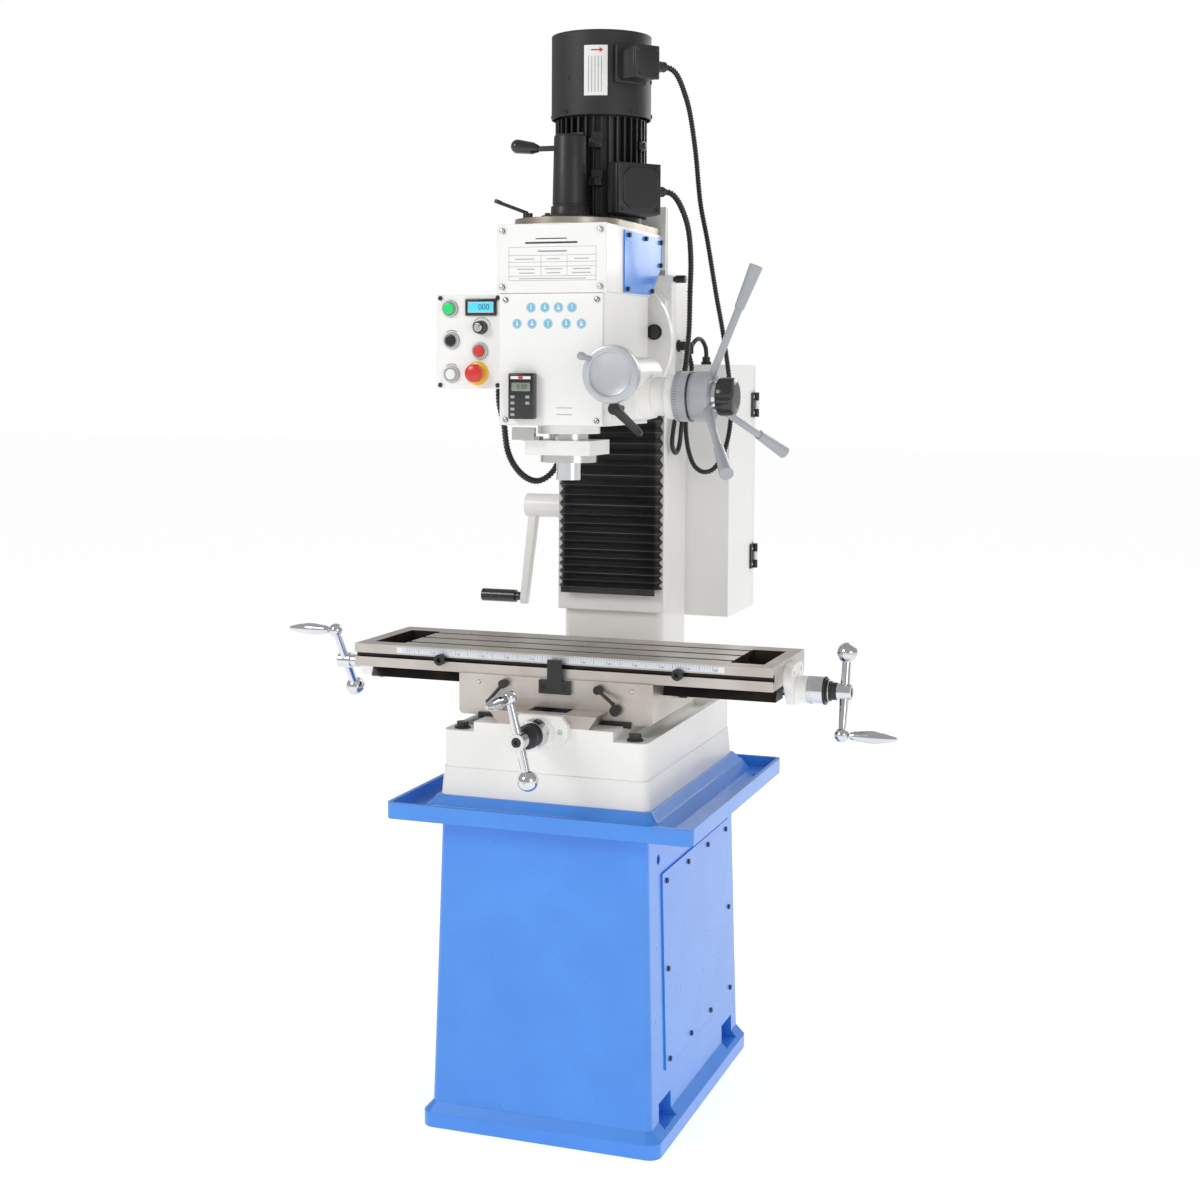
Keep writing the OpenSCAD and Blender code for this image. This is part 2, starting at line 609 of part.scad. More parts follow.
module rule_strip() color(CREAM) bx([-322, 322], [ty0 - 0.6, ty0], [869, 880]);
module end_brackets() color(CREAM) for (s = [-1, 1]) {
  a = s > 0 ? [table_l / 2, table_l / 2 + 16] : [-table_l / 2 - 16, -table_l / 2];
  b = s > 0 ? [table_l / 2 + 14, 447] : [-447, -table_l / 2 - 14];
  difference() {
    union() {
      hull() {
        cx(24, a, table_y - 24, 852);
        cx(24, a, table_y + 24, 852);
        cx(30, a, table_y, xs_z);
      }
      cx(25, b, table_y, xs_z);
    }
    cx(screw_r + run, s > 0 ? [a[0] - 1, b[1] + 1] : [b[0] - 1, a[1] + 1], table_y, xs_z);
    for (y = [-28, 28]) cx(4, a, table_y + y, 862);
  }
}
module table_stop(x) color(BLACK) {
  bx([x - 10, x + 10], [ty0 + 5.2, ty0 + 9.6], [855.4, 868.6]);
  cy(3.5, x, [ty0 - 4, ty0 + 6], 862);
  translate([x, ty0 - 1, 862]) rotate([90, 0, 0]) socket(10.5, 10.5);
}
module stop_left() table_stop(-229);
module stop_right() table_stop(236);

// ---------- height carriage ----------
module carriage() color(CREAM) difference() {
  union() {
    intersection() {
      bx([-118, 118], [60, ways_y0 - run], [car_z0, car_z1]);
      cy(143, 0, [50, 90], tilt_z);
    }
    for (s = [-1, 1]) translate([0, 0, car_z0]) linear_extrude(height = car_z1 - car_z0)
      polygon([[s * 60, 82], [s * 124, 82], [s * 124, 111.5], [s * (ways_w / 2 - 12), 111.5],
               [s * (ways_w / 2 - 12 + run), ways_y1 + 0.4], [s * (ways_w / 2 + run), ways_y0 + 4],
               [s * (ways_w / 2 + run), ways_y0 - run], [s * 60, ways_y0 - run]]);
    cy(135, 0, [48, 61], tilt_z);
  }
  cy(30, 0, [47, ways_y0], tilt_z);
  cx(5 + run, [112, 125], 97, 1583);
}
module z_lock() color(BLACK) {
  cx(5, [116, 134], 97, 1583);
  cx(7.5, [128, 148], 97, 1583);
}

// ---------- head ----------
module head_body() color(CREAM) difference() {
  union() {
    bx([-head_w / 2 + 1, head_w / 2 - 2], [head_y0 + 3, head_y1], [head_z0, step_z + 1]);
    along_x([-head_w / 2, head_w / 2]) polygon([[head_y0, step_z], [head_y1 + 2, step_z], [rear_y - 2, 1603],
      [rear_y, head_z1], [head_y0, head_z1]]);
    cy(92, 0, [head_y1 - 2, 32], tilt_z);
    cy(tilt_r, 0, [30, 48 - pass], tilt_z);
    cy(30 - run, 0, [40, 80], tilt_z);
    cz(58, 0, -spindle_y, [boss_z, head_z0 + 1]);
    // downfeed housing: a stub along X with the fine-feed worm housing above it
    cx(46, [head_w / 2 - 6, 136], cap_y, cap_z);
    translate([136, cap_y, cap_z]) rotate([0, 90, 0]) cylinder(r1 = 46, r2 = 40, h = 25);
    bx([head_w / 2 - 6, 142], [-196, -74], [1316, 1404]);
    cy(32, worm_x - 6, [-262, -74], worm_z);
    cx(36, [160, 190], cap_y, cap_z);
    cx(42, [188, 204], cap_y, cap_z);
    // machined lid with a round front
    cz(101, 0, -spindle_y, [head_z1, lid_z]);
    bx([-100, 101], [-spindle_y, rear_y - 2], [head_z1, lid_z]);
  }
  // room for the tilt of the rear overhang past the carriage
  difference() {
    cy(145, 0, [48 - pass, rear_y + 1], tilt_z);
    cy(31, 0, [40, rear_y + 2], tilt_z);
  }
  cz(quill_r + run, 0, -spindle_y, [boss_z - 1, 1520]);
  cz(24, 0, -spindle_y, [1519, lid_z + 1]);
  // gear space
  bx([-80, 80], [-90, -20], [1330, 1640]);
  bx([-86, -30], [-220, -100], [1560, 1650]);
  cx(14 + run, [59, 205], cap_y, cap_z);
  bx([60, 66], [-150, -89], [1340, 1376]);
  cy(10 + run, worm_x, [-263, -230], worm_z);
  cy(6 + run, worm_x, [-263, -230], 1337);
  for (a = [10, 170, 270]) translate([108 * cos(a), 0, tilt_z + 108 * sin(a)]) cy(8, 0, [29, 48], 0);
}
module side_cover() color(BLUE) along_x([head_w / 2, head_w / 2 + 3])
  polygon([[-145, 1547], [12, 1549], [75, 1604], [77, 1659], [-145, 1661]]);
module head_plates() color(CREAM) difference() {
  union() {
    bx([-105, 105], [head_y0 - 3, head_y0], [1543, head_z1]);
    bx([-101, 97.5], [head_y0 + 0.5, head_y0 + 3], [head_z0 + 1, 1542.5]);
  }
  for (x = [-94, 94], z = [1554, 1655]) cy(2.6, x, [head_y0 - 4, head_y0 + 1], z);
  for (x = [-89, 87], z = [1314, 1531]) cy(2.6, x, [head_y0 - 1, head_y0 + 4], z);
  cy(32, worm_x - 6, [head_y0 - 1, head_y0 + 4], worm_z);
}
// plate screws, cover screws, tilt nuts and the gland under the head
module head_hardware() color(BLACK) {
  for (x = [-94, 94], z = [1554, 1655]) cy(4.6, x, [head_y0 - 5.5, head_y0 - 3], z);
  for (x = [-89, 87], z = [1314, 1531]) cy(4.6, x, [head_y0 - 2, head_y0 + 0.5], z);
  for (p = [[-125, 1653], [-25, 1653], [70, 1652], [68, 1608], [14, 1556], [-131, 1554]])
    translate([head_w / 2 + 3, p[0], p[1]]) rotate([0, 90, 0]) socket(4.5, 5);
  for (a = [10, 170, 270]) translate([108 * cos(a), 30, tilt_z + 108 * sin(a)]) rotate([90, 0, 0]) {
    cylinder(r = 15, h = 3);
    translate([0, 0, 3]) cylinder(r = 13, h = 12, $fn = 6);
  }
  // gland of the panel conduit under the head
  cz(10, -45, -65, [head_z0 - 10, head_z0]);
}
module drawbar_cap() color(BLACK) difference() {
  union() {
    cz(54, 0, -spindle_y, [lid_z, lid_z + 8]);
    cz(35, 0, -spindle_y, [lid_z + 7, lid_z + 26]);
    translate([0, -spindle_y, lid_z + 25]) cylinder(r1 = 32, r2 = 29.5, h = 128);
    cz(28, 0, -spindle_y, [lid_z + 152, lid_z + 156]);
  }
  cz(24, 0, -spindle_y, [lid_z - 1, lid_z + 150]);
  cx(5 + run, [-40, -20], -spindle_y, 1812);
  for (a = [45 : 90 : 315]) cz(4, 45 * cos(a), -spindle_y + 45 * sin(a), [lid_z + 3, lid_z + 9]);
}
module gear_lever() color(BLACK) {
  cz(9, -68, -190, [lid_z + pass, lid_z + 12]);
  translate([-68, -190, lid_z + 12]) rotate([0, 0, 20]) rotate([0, 20, 0]) {
    translate([-58, -5, -3]) cube([58, 10, 6]);
    translate([-58, 0, -3]) cylinder(r = 7, h = 7);
  }
}
module spindle_lock() color(BLACK) {
  cx(5, [-62, -26], -spindle_y, 1812);
  translate([-62, -spindle_y, 1812]) rotate([0, -82, 0]) {
    cylinder(r1 = 6.5, r2 = 11, h = 12);
    translate([0, 0, 12]) cylinder(r1 = 11, r2 = 13, h = 30);
    translate([0, 0, 42]) sphere(r = 13);
  }
}
module motor_body() color(BLACK) translate([mot_x, mot_y, 0]) difference() {
  union() {
    cz(80, 0, 0, [lid_z, lid_z + 13]);
    cz(frame_r - 13, 0, 0, [lid_z + 12, 1888]);
    for (k = [0 : fins - 1]) rotate([0, 0, 360 * k / fins])
      bx([frame_r - 16, frame_r], [-1.6, 1.6], [lid_z + 14, 1876]);
    for (a = [-99, -75, 150], z = [1760, 1830]) rotate([0, 0, a])
      bx([frame_r - 14, frame_r + 3], [-11, 11], [z, z + 16]);
  }
  cz(40, 0, 0, [lid_z + 20, 1870]);
}
module fan_cowl() color(BLACK) translate([mot_x, mot_y, 0]) difference() {
  cz(cowl_r, 0, 0, [1878, cowl_top]);
  cz(cowl_r - 2.5, 0, 0, [1877, cowl_top - 2.5]);
  for (r = [22, 42, 62], a = [0 : 30 : 330]) rotate([0, 0, a]) cz(5, r, 0, [cowl_top - 4, cowl_top + 1]);
}
// both junction boxes face to the front right of the motor
module terminal_boxes() color(BLACK) translate([mot_x, mot_y, 0]) rotate([0, 0, mot_az - 90]) {
  difference() {
    bx([60, 98], [-36, 34], [1702, 1777]);
    cz(frame_r + pass, 0, 0, [1700, 1780]);
  }
  difference() {
    bx([80, 103], [-32, 32], [1936, 2004]);
    cz(cowl_r, 0, 0, [1930, 2010]);
  }
  bx([97, 132], [-49, 46], [1692, 1787]);
  bx([131, 139], [-47, 44], [1694, 1785]);
  for (y = [-41, 38], z = [1700, 1779]) cx(4, [138.9, 141], y, z);
  cy(11, 118, [45, 58], 1738);
  cy(9, 118, [57, 63.5], 1738);
  bx([102, 158], [-25.5, 25.5], [1938, 1997]);
  cy(11, 140, [25, 42], 1964);
  cy(9, 140, [41, 49.5], 1964);
}

// ---------- control panel ----------
pan_x0 = -236;
pan_y0 = -222;
module control_box() color(CREAM) {
  difference() {
    bx([pan_x0, -head_w / 2 + 1], [pan_y0, -150], [1370, 1542]);
    bx([pan_x0 + 3, -head_w / 2 - 4], [pan_y0 + 3, -153], [1373, 1539]);
    for (p = panel_holes) cy(p[2] + run, p[0], [pan_y0 - 1, pan_y0 + 4], p[1]);
  }
  difference() {
    bx([-176, -117], [pan_y0 - 4, pan_y0], [1505, 1533]);
    bx([-171, -122], [pan_y0 - 5, pan_y0 - 2], [1510, 1528]);
  }
  for (p = panel_holes) if (p[2] > 7) translate([p[0], pan_y0, p[1]]) rotate([90, 0, 0]) difference() {
    cylinder(r = p[2] + 5, h = 5);
    translate([0, 0, -1]) cylinder(r = p[2] + pass, h = 7);
  }
  for (x = [-228, -113], z = [1376, 1536]) cy(3.6, x, [pan_y0 - 2.5, pan_y0], z);
}
// x, z and radius of the five push positions and the speed knob
panel_holes = [[-209, 1517, 10], [-206, 1458, 10], [-149, 1439, 10], [-206, 1396, 10], [-154, 1398, 8],
               [-146, 1482, 4]];
module button(i, out) {
  p = panel_holes[i];
  cy(p[2], p[0], [pan_y0 - out, pan_y0 + 12], p[1]);
}
module start_button() color([0.1, 0.75, 0.35]) button(0, 11);
module forward_button() color(BLACK) button(1, 8);
module stop_button() color([0.85, 0.15, 0.12]) button(2, 8);
module reverse_button() color(CREAM) button(3, 8);
module estop() color([0.85, 0.15, 0.12]) {
  button(4, 14);
  cy(17, panel_holes[4][0], [pan_y0 - 24, pan_y0 - 12], panel_holes[4][1]);
}
module speed_knob() color(BLACK) {
  button(5, 4);
  difference() {
    cy(11, panel_holes[5][0], [pan_y0 - 18, pan_y0 - pass], panel_holes[5][1]);
    translate([panel_holes[5][0], pan_y0 - 18, panel_holes[5][1]]) rotate([0, 50, 0])
      bx([-0.8, 0.8], [-1, 1.5], [2, 12]);
  }
}
module quill_readout() color(BLACK) {
  difference() {
    bx([-77, -28], [-262, head_y0 + 0.5], [1316, 1399]);
    bx([-71, -34], [-263, -261], [1367, 1382]);
  }
  for (x = [-69, -60, -45, -36], z = [1330, 1342, 1354]) bx([x - 3, x + 3], [-263, -262], [z - 2.5, z + 2.5]);
}

// ---------- feeds ----------
module fine_wheel() color(GREY) {
  cy(10, worm_x, [-278, -232], worm_z);
  difference() {
    cy(52, worm_x, [-300, -276], worm_z);
    cy(38, worm_x, [-301, -293], worm_z);
  }
  // fixed winding peg on the rim
  translate([worm_x - 37, -298, worm_z + 27]) rotate([90, 0, 0]) {
    cylinder(r1 = 4, r2 = 7.5, h = 26);
    translate([0, 0, 26]) sphere(r = 7.5);
  }
}
module quill_lock() color(BLACK) {
  cy(6, worm_x, [-266, -232], 1337);
  cy(11, worm_x, [-275, -262 - pass], 1337);
  translate([worm_x, -268, 1337]) rotate([0, 40, 0]) hull() {
    rotate([90, 0, 0]) translate([0, 0, -4]) cylinder(r = 8, h = 9, $fn = 32);
    translate([64, -8, 0]) rotate([90, 0, 0]) cylinder(r = 6, h = 7, $fn = 32);
  }
}
module capstan() color(GREY) {
  cx(14, [60 + pass, 232], cap_y, cap_z);
  cx(46, [204 + pass, 231], cap_y, cap_z);
  cx(44, [231, 239], cap_y, cap_z);
  difference() {
    cx(46, [239, 271], cap_y, cap_z);
    cx(28, [262, 272], cap_y, cap_z);
  }
  for (k = [0 : 2]) translate([252, cap_y, cap_z]) rotate([-120 * k + 3, 0, 0]) rotate([0, 23, 0]) {
    translate([0, 0, 36]) cylinder(r = 7, h = lever_l - 112);
    translate([0, 0, lever_l - 82]) cylinder(r1 = 9, r2 = 12.5, h = 82);
  }
}
module clutch_knob() color(BLACK) {
  cx(27, [263, 284], cap_y, cap_z);
  cx(36, [281, 315], cap_y, cap_z);
}
module quill() color(STEEL) difference() {
  union() {
    cz(quill_r, 0, -spindle_y, [1236, 1500]);
    cz(53, 0, -spindle_y, [1235, 1249]);
    bx([-64, 62], [-spindle_y - 58, -spindle_y + 50], [1249, 1276]);
    // bracket that carries the depth scale
    bx([-82, -39], [-231, -219], [1277, 1300]);
    bx([-66, -34], [-220, -196], [1275, 1283]);
  }
  cz(22 + run, 0, -spindle_y, [1234, 1501]);
}
module spindle() color(CHROME) difference() {
  union() {
    cz(23, 0, -spindle_y, [1202, 1235 - pass]);
    cz(22, 0, -spindle_y, [1234, 1502]);
    cz(15, 0, -spindle_y, [1501, 1800]);
    translate([0, -spindle_y, 1799]) cylinder(r = 10, h = 16, $fn = 6);
  }
  cz(nose_bore, 0, -spindle_y, [1201, 1290]);
  translate([0, -spindle_y, 1289.9]) cylinder(r1 = nose_bore, r2 = 6, h = 20);
}

stand();
chip_tray();
access_panel();
base_hardware();
base_casting();
y_flange();
column();
column_ways();
bellows();
e_box();
e_box_door();
fan_conduit();
motor_conduit();
signal_cable();
panel_conduit();
y_handle();
y_grip();
z_crank();
z_grip();
saddle();
pointer_block();
table_lock_left();
table_lock_right();
gib_knob();
scale_reader();
table();
rule_strip();
end_brackets();
stop_left();
stop_right();
x_handle_right();
x_grip_right();
x_handle_left();
x_grip_left();
carriage();
z_lock();
head_body();
side_cover();
head_plates();
head_hardware();
drawbar_cap();
gear_lever();
spindle_lock();
motor_body();
fan_cowl();
terminal_boxes();
control_box();
start_button();
forward_button();
stop_button();
reverse_button();
estop();
speed_knob();
quill_readout();
fine_wheel();
quill_lock();
capstan();
clutch_knob();
quill();
spindle();
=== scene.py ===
"""Looks of a vertical milling machine: camera, cords, modelled pieces and finishes."""
import json
import logging
import math
from dataclasses import dataclass, field
from enum import Enum
from typing import Iterable, Optional, Sequence

import bpy
from mathutils import Matrix, Vector


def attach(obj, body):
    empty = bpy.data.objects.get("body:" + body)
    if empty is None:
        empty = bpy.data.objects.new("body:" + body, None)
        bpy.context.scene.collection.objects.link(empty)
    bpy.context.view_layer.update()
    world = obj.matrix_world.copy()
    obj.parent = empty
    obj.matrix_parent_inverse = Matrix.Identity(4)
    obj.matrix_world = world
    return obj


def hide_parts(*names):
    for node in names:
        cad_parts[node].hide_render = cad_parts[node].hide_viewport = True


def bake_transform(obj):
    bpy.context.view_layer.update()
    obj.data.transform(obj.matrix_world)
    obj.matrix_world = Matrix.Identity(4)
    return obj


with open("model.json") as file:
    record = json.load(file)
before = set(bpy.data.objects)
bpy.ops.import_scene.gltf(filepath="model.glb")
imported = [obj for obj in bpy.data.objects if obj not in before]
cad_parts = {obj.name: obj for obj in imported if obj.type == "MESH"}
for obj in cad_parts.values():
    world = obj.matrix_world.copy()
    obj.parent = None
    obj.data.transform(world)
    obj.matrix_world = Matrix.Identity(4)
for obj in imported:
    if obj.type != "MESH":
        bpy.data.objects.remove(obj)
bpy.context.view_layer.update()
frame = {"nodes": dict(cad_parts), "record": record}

log = logging.getLogger("milling_machine")
MM = 0.001
Point = Sequence[float]


# ---------------------------------------------------------------- modelling by hand
class Axis(Enum):
    """A direction of the shared frame."""

    X = (1.0, 0.0, 0.0)
    Y = (0.0, 1.0, 0.0)
    Z = (0.0, 0.0, 1.0)


def metres(point: Point) -> Vector:
    """Returns a point given in millimetres as a vector in metres."""
    return Vector(point) * MM


def nothing_selected() -> None:
    """Deselects every object, so that an operator acts on the new piece only."""
    bpy.ops.object.select_all(action="DESELECT")


def pick(*objs: bpy.types.Object) -> None:
    """Selects these objects only and makes the first one active."""
    nothing_selected()
    for obj in objs:
        obj.select_set(True)
    bpy.context.view_layer.objects.active = objs[0]


def bake_place(obj: bpy.types.Object) -> bpy.types.Object:
    """Moves the object's place into its mesh and returns it."""
    pick(obj)
    bpy.ops.object.transform_apply(location=True, rotation=True, scale=True)
    return obj


def soften(obj: bpy.types.Object, width: float, segments: int = 3, angle: float = 30) -> bpy.types.Object:
    """Rounds the sharp edges.

    Args:
        obj: the piece.
        width: radius of the rounding, in millimetres.
        segments: faces across the rounding.
        angle: edges sharper than this many degrees are rounded.

    Returns:
        The same piece, with smooth shading.
    """
    if width > 0:
        modifier = obj.modifiers.new("rounding", "BEVEL")
        modifier.width = width * MM
        modifier.segments = segments
        modifier.limit_method = "ANGLE"
        modifier.angle_limit = math.radians(angle)
        pick(obj)
        bpy.ops.object.modifier_apply(modifier=modifier.name)
    pick(obj)
    bpy.ops.object.shade_smooth_by_angle(angle=math.radians(35))
    return obj


def block(name: str, low: Point, high: Point, edge: float = 0.0, segments: int = 3) -> bpy.types.Object:
    """Makes a block with rounded edges.

    Args:
        name: name of the piece.
        low: lowest corner, in millimetres.
        high: highest corner, in millimetres.
        edge: radius of its edges.
        segments: faces across each edge.

    Returns:
        The new piece.
    """
    nothing_selected()
    bpy.ops.mesh.primitive_cube_add(size=1.0, location=(metres(low) + metres(high)) / 2)
    obj = bpy.context.object
    obj.name = name
    obj.scale = metres(high) - metres(low)
    return soften(bake_place(obj), edge, segments)


def rod(name: str, start: Point, end: Point, radius: float, tip: Optional[float] = None,
        edge: float = 0.0, sides: int = 48) -> bpy.types.Object:
    """Makes a round or tapered bar between two points.

    Args:
        name: name of the piece.
        start: centre of one end, in millimetres.
        end: centre of the other end.
        radius: radius at the start.
        tip: radius at the end, the same as radius if left out.
        edge: rounding of the end edges.
        sides: faces around it.

    Returns:
        The new piece.
    """
    a, b = metres(start), metres(end)
    nothing_selected()
    bpy.ops.mesh.primitive_cone_add(vertices=sides, radius1=radius * MM,
                                    radius2=(radius if tip is None else tip) * MM,
                                    depth=(b - a).length, location=(a + b) / 2)
    obj = bpy.context.object
    obj.name = name
    obj.rotation_mode = "QUATERNION"
    obj.rotation_quaternion = (b - a).to_track_quat("Z", "Y")
    return soften(bake_place(obj), edge, 3, 40)


def turned(name: str, base: Point, axis: Point, profile: Sequence[tuple[float, float]],
           sides: int = 72) -> bpy.types.Object:
    """Turns a profile round an axis, as on a lathe.

    Args:
        name: name of the piece.
        base: point of the axis where heights start, in millimetres.
        axis: direction of the axis.
        profile: pairs of radius and height, in millimetres.
        sides: faces around it.

    Returns:
        The new piece, closed where the profile meets the axis.
    """
    mesh = bpy.data.meshes.new(name)
    mesh.from_pydata([(r * MM, 0.0, h * MM) for r, h in profile],
                     [(i, i + 1) for i in range(len(profile) - 1)], [])
    obj = bpy.data.objects.new(name, mesh)
    bpy.context.scene.collection.objects.link(obj)
    pick(obj)
    bpy.ops.object.mode_set(mode="EDIT")
    bpy.ops.mesh.select_all(action="SELECT")
    bpy.ops.mesh.spin(steps=sides, angle=2 * math.pi, center=(0, 0, 0), axis=(0, 0, 1))
    bpy.ops.mesh.select_all(action="SELECT")
    bpy.ops.mesh.remove_doubles(threshold=1e-6)
    bpy.ops.mesh.normals_make_consistent(inside=False)
    bpy.ops.object.mode_set(mode="OBJECT")
    turn = Vector(axis).to_track_quat("Z", "Y").to_matrix().to_4x4()
    obj.data.transform(Matrix.Translation(metres(base)) @ turn)
    return soften(obj, 0.0)


def cut(obj: bpy.types.Object, cutter: bpy.types.Object) -> bpy.types.Object:
    """Cuts one piece out of another, deletes the cutter and returns what is left."""
    modifier = obj.modifiers.new("cut", "BOOLEAN")
    modifier.operation = "DIFFERENCE"
    modifier.solver = "EXACT"
    modifier.object = cutter
    pick(obj)
    bpy.ops.object.modifier_apply(modifier=modifier.name)
    bpy.data.objects.remove(cutter)
    return soften(obj, 0.0)


def joined(name: str, parts: Iterable[bpy.types.Object]) -> bpy.types.Object:
    """Joins parts into one piece with that name."""
    found = list(parts)
    pick(*found)
    if len(found) > 1:
        bpy.ops.object.join()
    found[0].name = name
    return found[0]


def moved_copy(obj: bpy.types.Object, move: Matrix) -> bpy.types.Object:
    """Returns a copy with its own mesh, moved by a matrix."""
    twin = obj.copy()
    twin.data = obj.data.copy()
    bpy.context.scene.collection.objects.link(twin)
    twin.data.transform(move)
    return twin


def row(name: str, first: bpy.types.Object, step: Point, count: int) -> bpy.types.Object:
    """Repeats a part along a line with an array and returns the row as one piece."""
    modifier = first.modifiers.new("row", "ARRAY")
    modifier.count = count
    modifier.use_relative_offset = False
    modifier.use_constant_offset = True
    modifier.constant_offset_displace = metres(step)
    pick(first)
    bpy.ops.object.modifier_apply(modifier=modifier.name)
    first.name = name
    return first


def around(name: str, first: bpy.types.Object, centre: Point, axis: Axis,
    angles: Iterable[float]) -> bpy.types.Object:
    """Repeats a part round an axis.

    Args:
        name: name of the joined piece.
        first: the part at angle zero, which is used up.
        centre: a point of the axis, in millimetres.
        axis: direction of the axis.
        angles: places of the copies, in degrees.

    Returns:
        All copies as one piece.
    """
    pivot = Matrix.Translation(metres(centre))
    copies = [moved_copy(first, pivot @ Matrix.Rotation(math.radians(a), 4,
        Vector(axis.value)) @ pivot.inverted())
              for a in angles]
    bpy.data.objects.remove(first)
    return joined(name, copies)


def figures(name: str, words: str, size: float, place: Point) -> bpy.types.Object:
    """Makes raised figures that face the front, centred on a place in millimetres."""
    nothing_selected()
    bpy.ops.object.text_add(location=(0, 0, 0))
    obj = bpy.context.object
    obj.data.body = words
    obj.data.size = size * MM
    obj.data.align_x = "CENTER"
    obj.data.align_y = "CENTER"
    obj.data.extrude = 0.06 * MM
    pick(obj)
    bpy.ops.object.convert(target="MESH")
    obj.name = name
    obj.data.transform(Matrix.Translation(metres(place)) @ Matrix.Rotation(math.radians(90), 4, "X"))
    return obj


# ---------------------------------------------------------------- finishes
class Grain(Enum):
    """How a surface was made, as the shape of its fine pattern."""

    PAINT = (1.0, 1.0, 1.0)
    CAST = (1.0, 1.0, 1.001)
    ALONG_X = (0.03, 1.0, 1.0)
    ALONG_Y = (1.0, 0.03, 1.0)
    TURNED_Z = (0.08, 0.08, 1.0)
    MOULDED = (1.0, 1.001, 1.0)


@dataclass(frozen=True)
class Finish:
    """A surface finish with its colour drift, fine grain, roughness drift and softened edges."""

    name: str
    slot: str
    colour: tuple[float, float, float]
    drift: tuple[float, float, float]
    rough: tuple[float, float]
    metallic: float = 0.0
    grain: Grain = Grain.PAINT
    fine: float = 900.0
    bump: float = 0.05
    coat: float = 0.0
    edge: float = 1.0
    worn: float = 0.0
    glow: float = 0.0

    def build(self) -> bpy.types.Material:
        """Builds the node material and returns it."""
        material = bpy.data.materials.new(self.name)
        material.use_nodes = True
        tree = material.node_tree
        shader = tree.nodes["Principled BSDF"]
        self.set_constants(shader)
        place = tree.nodes.new("ShaderNodeTexCoord")
        stretch = tree.nodes.new("ShaderNodeMapping")
        stretch.inputs["Scale"].default_value = self.grain.value
        tree.links.new(place.outputs["Object"], stretch.inputs["Vector"])
        cloud = self.noise(tree, place.outputs["Object"], 9.0, 3.0)
        grain = self.noise(tree, stretch.outputs["Vector"], self.fine, 2.0)
        colour = self.blend(tree, cloud, self.colour, self.drift)
        rounded = tree.nodes.new("ShaderNodeBevel")
        rounded.samples = 4
        rounded.inputs["Radius"].default_value = self.edge * MM
        if self.worn > 0:
            colour = self.wear(tree, colour, rounded)
        tree.links.new(colour, shader.inputs["Base Color"])
        sheen = tree.nodes.new("ShaderNodeMapRange")
        sheen.inputs["To Min"].default_value = self.rough[0]
        sheen.inputs["To Max"].default_value = self.rough[1]
        mixed = self.noise(tree, stretch.outputs["Vector"], self.fine * 0.12, 4.0)
        tree.links.new(mixed, sheen.inputs["Value"])
        tree.links.new(sheen.outputs["Result"], shader.inputs["Roughness"])
        relief = tree.nodes.new("ShaderNodeBump")
        relief.inputs["Strength"].default_value = self.bump
        relief.inputs["Distance"].default_value = 0.4 * MM
        tree.links.new(grain, relief.inputs["Height"])
        tree.links.new(rounded.outputs["Normal"], relief.inputs["Normal"])
        tree.links.new(relief.outputs["Normal"], shader.inputs["Normal"])
        return material

    def set_constants(self, shader: bpy.types.Node) -> None:
        """Sets what is the same all over on the shader's own sockets."""
        shader.inputs["Metallic"].default_value = self.metallic
        shader.inputs["Coat Weight"].default_value = self.coat
        shader.inputs["Coat Roughness"].default_value = 0.12
        if self.glow > 0:
            shader.inputs["Emission Color"].default_value = (*self.colour, 1.0)
            shader.inputs["Emission Strength"].default_value = self.glow

    @staticmethod
    def noise(tree: bpy.types.NodeTree, vector: bpy.types.NodeSocket, scale: float,
        detail: float) -> bpy.types.NodeSocket:
        """Adds a noise texture and returns its factor."""
        node = tree.nodes.new("ShaderNodeTexNoise")
        node.inputs["Scale"].default_value = scale
        node.inputs["Detail"].default_value = detail
        tree.links.new(vector, node.inputs["Vector"])
        return node.outputs["Fac"]

    @staticmethod
    def blend(tree: bpy.types.NodeTree, factor: bpy.types.NodeSocket, low: Point,
        high: Point) -> bpy.types.NodeSocket:
        """Adds a colour ramp from low to high and returns its colour."""
        ramp = tree.nodes.new("ShaderNodeValToRGB")
        ramp.color_ramp.elements[0].position = 0.35
        ramp.color_ramp.elements[1].position = 0.68
        ramp.color_ramp.elements[0].color = (*low, 1.0)
        ramp.color_ramp.elements[1].color = (*high, 1.0)
        tree.links.new(factor, ramp.inputs["Fac"])
        return ramp.outputs["Color"]

    def wear(self, tree: bpy.types.NodeTree, colour: bpy.types.NodeSocket,
        rounded: bpy.types.Node) -> bpy.types.NodeSocket:
        """Lightens the rubbed edges and returns the new colour."""
        shape = tree.nodes.new("ShaderNodeNewGeometry")
        turn = tree.nodes.new("ShaderNodeVectorMath")
        turn.operation = "DOT_PRODUCT"
        tree.links.new(shape.outputs["Normal"], turn.inputs[0])
        tree.links.new(rounded.outputs["Normal"], turn.inputs[1])
        edge = tree.nodes.new("ShaderNodeMapRange")
        edge.inputs["From Min"].default_value = 0.97
        edge.inputs["From Max"].default_value = 0.80
        edge.inputs["To Max"].default_value = self.worn
        tree.links.new(turn.outputs["Value"], edge.inputs["Value"])
        mix = tree.nodes.new("ShaderNodeMix")
        mix.data_type = "RGBA"
        mix.inputs["B"].default_value = (*[min(1.0, c * 2.0 + 0.10) for c in self.colour], 1.0)
        tree.links.new(edge.outputs["Result"], mix.inputs["Factor"])
        tree.links.new(colour, mix.inputs["A"])
        return mix.outputs["Result"]


